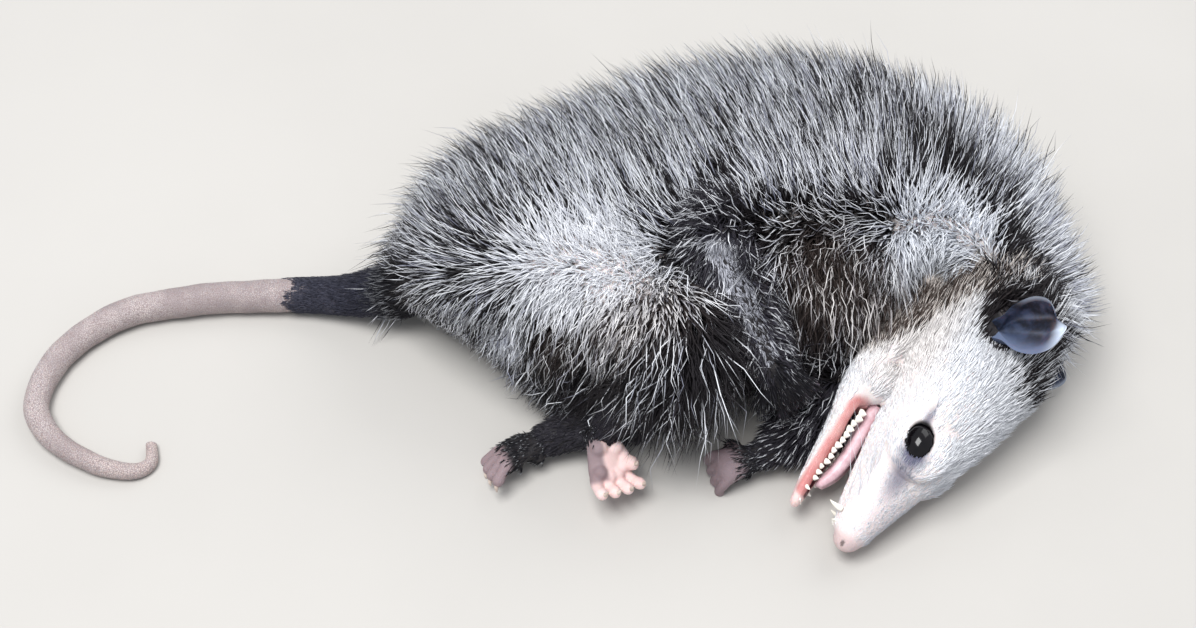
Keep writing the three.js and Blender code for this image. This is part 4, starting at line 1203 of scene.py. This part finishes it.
def head_batch(count, reach, seed):
    """Short tufts on a stretch of the head: finest on the muzzle, longest behind the cheeks."""
    rng = np.random.default_rng(seed)

    def weight(centre, normal):
        p = to_head(centre)
        bare = (p[:, 0] > 121) & (p[:, 1] > -18)
        bare |= (rim_share(p) < 1) | (lip_share(p) < 1.02) | (ear_gap(p) < 7.5)
        for hollow, edge in ((palate, 1.2), (mouth_floor, 1.35)):
            share = hollow.locate(p, 50)[2]
            bare |= (share < edge) & (p[:, 0] > hollow.rows[0, 0] - 5) & (p[:, 0] < hollow.rows[-1, 0] + 4)
        bare |= (p[:, 0] > 112) & (p[:, 1] < -20)
        seen = 0.15 + 0.85 * rise(normal[:, 2], -0.6, 0.1)
        return ~bare * seen * (p[:, 0] > reach[0]) * (p[:, 0] <= reach[1]) * (centre[:, 2] > 1.5)

    root, out = roots_on(head_points, head_quads, weight, count, rng)
    p = to_head(root)
    x = p[:, 0]
    angle = np.arctan2(p[:, 2], p[:, 1])
    rear = fall(x, 14, 62)
    lie = -HEAD_AXES[0] + 0.35 * HEAD_AXES[2] * np.sign(p[:, 2])[:, None] * rear[:, None]
    crown = rise(p[:, 1], 9, 21) * fall(x, 74, 98) * rise(x, 20, 34)
    length = 2.6 + 3.4 * fall(x, 70, 110) + 7 * rear + 7 * fall(x, 4, 26) + 3.5 * crown
    lift = 0.16 + 0.4 * rear + 0.3 * crown
    length *= 0.3 + 0.7 * rise(rim_share(p), 1.0, 1.9)
    length *= 0.3 + 0.7 * rise(ear_gap(p, (5, 0, 0)), 6, 15)
    length *= 0.75 + 0.5 * rng.random(count)
    width = (0.46 + 0.3 * fall(x, 60, 100)) * (0.8 + 0.4 * rng.random(count))
    sunk = np.clip(0.09 * length, 0.15, 0.6)[:, None]
    path = grow(root, out, lie, length, lift, 4, rng, bend=0.5, stray=0.14,
                curl=0.05 + 0.2 * crown, clump=0.2, cell=3.5, sunk=sunk)
    dark = ear_dark(p)
    streak = patch(p, ((25, 25, 8), (22, 16, 24)), 0.5)
    dark = np.maximum(dark, streak * (rng.random(count) < 0.8))
    tan = rise(-7 - 0.7 * (x - 20) - p[:, 1], -5, 5) * fall(x, 48, 70)
    pale = (1.6 - 1.6 * dark) * (1 - tan) + (0.08 + 0.4 * rng.random(count)) * tan
    warm = np.maximum(0.1 + 0.35 * patch(p, ((44, -22, 24), (30, 16, 20)), 0.5), 0.72 * tan)
    uv = unwrap(x, angle, (0, 126), ROUND)
    return path, width, pale, warm, uv, rng, 0.45, 0.2, face_shade(p)


coat_piece("coat_face", "white_coat", [head_batch(8200, (50, 126), 31)])
coat_piece("coat_head", "white_coat", [head_batch(8600, (4, 50), 32)])


def leg_batch(name, count, seed):
    """Short dark tufts on one leg down to its paw."""
    rng = np.random.default_rng(seed)
    body = limbs[name]

    def weight(centre, normal):
        spot, _, share = body.locate(centre, 80)
        on_leg = (share < 1.25) & (spot > LEGS[name]["coat"] - 0.3)
        outside = spine.locate(centre)[2] > 1.0
        return on_leg * outside * (0.3 + 0.7 * rise(normal[:, 2], -0.8, 0.1)) * (centre[:, 2] > 1)

    root, out = roots_on(*trunk, weight, count, rng)
    place, angle, _ = body.locate(root)
    lie = body.frame(place)[0]
    down = place / body.end
    length = (8.5 - 4 * rise(down, 0.4, 1.0)) * (0.75 + 0.5 * rng.random(count))
    pale, bare, lift, curl = 0.02 + 0.16 * rng.random(count), 0.0, 0.38, 0.08
    if name == "foreleg_left":
        upper = fall(down, 0.55, 0.95)
        length, lift, curl = length * (1 + 1.4 * upper), lift + 0.3 * upper, curl + 0.25 * upper
        pale = np.where(rng.random(count) < 0.16, 0.6, 0.03)
    if name == "foreleg_right":
        # On the right forearm, bare marks a strip along its top side where the sheen of the short black hair
        # is painted: the hair there is short, flat and pale grey-blue.
        bare = rise(out @ ARM_SHEEN_SIDE, 0.62, 0.84) * rise(place, 3.2, 3.7)
        edge = unit(out - ARM_SHEEN_SIDE * (out @ ARM_SHEEN_SIDE)[:, None])
        lie = lie + edge * (0.9 * (1 - bare))[:, None]
        length = length * (1 + 1.6 * (1 - bare)) * (1 - 0.4 * bare)
        pale = np.where(rng.random(count) < 0.2, 0.6, 0.0) * (1 - bare) + 1.3 * bare
        lift, curl = 0.2 + 0.5 * (1 - bare), 0.08 + 0.6 * (1 - bare)
    path = grow(root, out, lie, length, lift, 4, rng, bend=0.5, curl=curl, clump=0.3, cell=3.5, sunk=0.6)
    uv = unwrap(place, angle, (0, body.end), ROUND)
    width = 0.5 + 0.3 * rng.random(count)
    # The grey shade on that strip tints the painted sheen blue-grey.
    return path, width, pale, 0.1, uv, rng, 1.0, 0.3, 0.1 + 0.45 * bare


def paw_batch(k, count, seed):
    """Short dark tufts on one paw, as far as its bare skin."""
    rng = np.random.default_rng(seed)
    name, origin, axes, points, quads = paws[k]

    def weight(centre, normal):
        return fall((centre - origin) @ axes[0], *LEGS[name]["bare"]) * (centre[:, 2] > 1)

    root, out = roots_on(points, quads, weight, count, rng)
    length = (9 if name == "foreleg_right" else 4.2) * (0.7 + 0.5 * rng.random(count))
    path = grow(root, out, axes[0], length, 0.3, 4, rng, clump=0.3, cell=3, sunk=0.5)
    off = (root - origin) @ axes.T
    uv = unwrap(off[:, 0], np.arctan2(off[:, 1], off[:, 2]), (-8, 24), ROUND)
    width, pale = 0.45 + 0.25 * rng.random(count), 0.1 + 0.2 * rng.random(count)
    return path, width, pale, 0.0, uv, rng, 1.0, 1.0, 0.0


LEG_COUNTS = {"foreleg_left": 1600, "foreleg_right": 4200, "hindleg_left": 2200, "hindleg_right": 2000}
batches = []
for k, (name, leg_count) in enumerate(LEG_COUNTS.items()):
    # Each leg has a column of the unwrap, and its paw the short end of it.
    for tall, start, batch in (
        (0.7, 0.0, leg_batch(name, leg_count, 51 + k)), (0.28, 0.72, paw_batch(k, 620, 61 + k))
    ):
        path, width, pale, warm, uv, *rest = batch
        batches.append((path, width, pale, warm, uv[:, ::-1] * [0.24, tall] + [0.25 * k, start], *rest))
coat_piece("coat_legs", "black_coat", batches)


def whisker_batch(count, seed):
    """Long stiff hairs on both sides of the muzzle."""
    rng = np.random.default_rng(seed)
    side = np.where(np.arange(count) % 2, 1.0, -1.0)
    t = rng.random(count)
    root = np.stack([92 + 20 * t, -6 - 6 * rng.random(count), side * (11.2 - 2.6 * t)], 1)
    way = np.stack([-0.75 + 0.3 * rng.normal(0, 1, count), -0.3 * rng.random(count), side * 0.75], 1)
    root, way = from_head(root), unit(way) @ HEAD_AXES
    out = np.broadcast_to(HEAD_AXES[2], root.shape) * side[:, None]
    length = 16 + 18 * rng.random(count)
    path = grow(root, out, way, length, 0.55, 7, rng, bend=0.6, curl=0.08, droop=0.05, sunk=1.5)
    uv = unwrap(t, side * (0.5 + t), (0, 1), (-2, 2))
    return path, np.full(count, 0.22), 1.6, 0.0, uv, rng, 1.0, 0.4, 0.0


coat_piece("whiskers", "white_coat", [whisker_batch(30, 81)])


def tail_batch(count, seed):
    """Black hair of the base of the tail, ending in an uneven edge."""
    rng = np.random.default_rng(seed)
    place = 0.35 + 2.65 * rng.random(count) ** 0.9
    angle = rng.random(count) * TURN
    place = np.minimum(place, 2.85 + 0.12 * np.sin(3 * angle) + 0.1 * rng.random(count))
    root = tail.point(place, angle)
    out = unit(root - tail.centre(place))
    ahead = tail.frame(place)[0]
    length = (12 - 8.5 * rise(place, 0.5, 2.4)) * (0.7 + 0.5 * rng.random(count))
    path = grow(root, out, ahead, length, 0.16, 4, rng, bend=0.6, curl=0.05, clump=0.2, cell=4, sunk=0.2)
    pale = 0.02 + 0.2 * fall(place, 0.6, 1.5) + 0.12 * rng.random(count)
    uv = unwrap(place, angle, (0.3, 3.1), (0, TURN))
    shade = 0.28 * rise(place, 0.6, 1.4)
    return path, 0.45 + 0.25 * rng.random(count), pale, 0.0, uv, rng, 0.5, 1.0, shade


coat_piece("coat_tail", "black_coat", [tail_batch(5200, 71)])

# Floor, light and camera.
floor_look = plain_look("floor", rgb(186, 183, 178), rgb(190, 187, 182), 4, 0.0, Roughness=0.8)
floor_mesh = bpy.data.meshes.new("floor")
floor_mesh.from_pydata([(-3, -3, 0), (3, -3, 0), (3, 3, 0), (-3, 3, 0)], [], [(0, 1, 2, 3)])
floor = piece("floor", floor_mesh, floor_look)
floor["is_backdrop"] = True

world = bpy.data.worlds.new("studio")
world.use_nodes = True
sky = world.node_tree.nodes["Background"]
sky.inputs["Color"].default_value = rgb(232, 236, 244)
sky.inputs["Strength"].default_value = 0.66
bpy.context.scene.world = world
bpy.context.scene.view_settings.view_transform = "Standard"


def soft_light(name, place, target, size, power):
    light = bpy.data.lights.new(name, "AREA")
    light.energy, light.size = power, size
    lamp = bpy.data.objects.new(name, light)
    lamp.location = place
    lamp.rotation_euler = (Vector(target) - Vector(place)).to_track_quat("-Z", "Y").to_euler()
    bpy.context.scene.collection.objects.link(lamp)


soft_light("key", (-0.3, -0.25, 1.5), (0, 0, 0.04), 0.8, 26)
soft_light("fill", (0.8, 0.7, 1.0), (0.05, 0, 0.03), 1.0, 7)

ELEVATION = math.radians(55)
DISTANCE = 800
PIXEL = 0.44  # size of a pixel of the photo at the middle of the body
PHOTO_WIDTH = 1196
view = bpy.data.cameras.new("view")
view.sensor_width = 36
view.lens = DISTANCE / PIXEL * view.sensor_width / PHOTO_WIDTH
view.clip_start = 0.01
camera = bpy.data.objects.new("view", view)
away = np.array([0, -math.cos(ELEVATION), math.sin(ELEVATION)]) * DISTANCE
camera.location = (away + SHIFT) * MM
camera.rotation_euler = (math.pi / 2 - ELEVATION, 0, 0)
bpy.context.scene.collection.objects.link(camera)
bpy.context.scene.camera = camera

low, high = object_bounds()
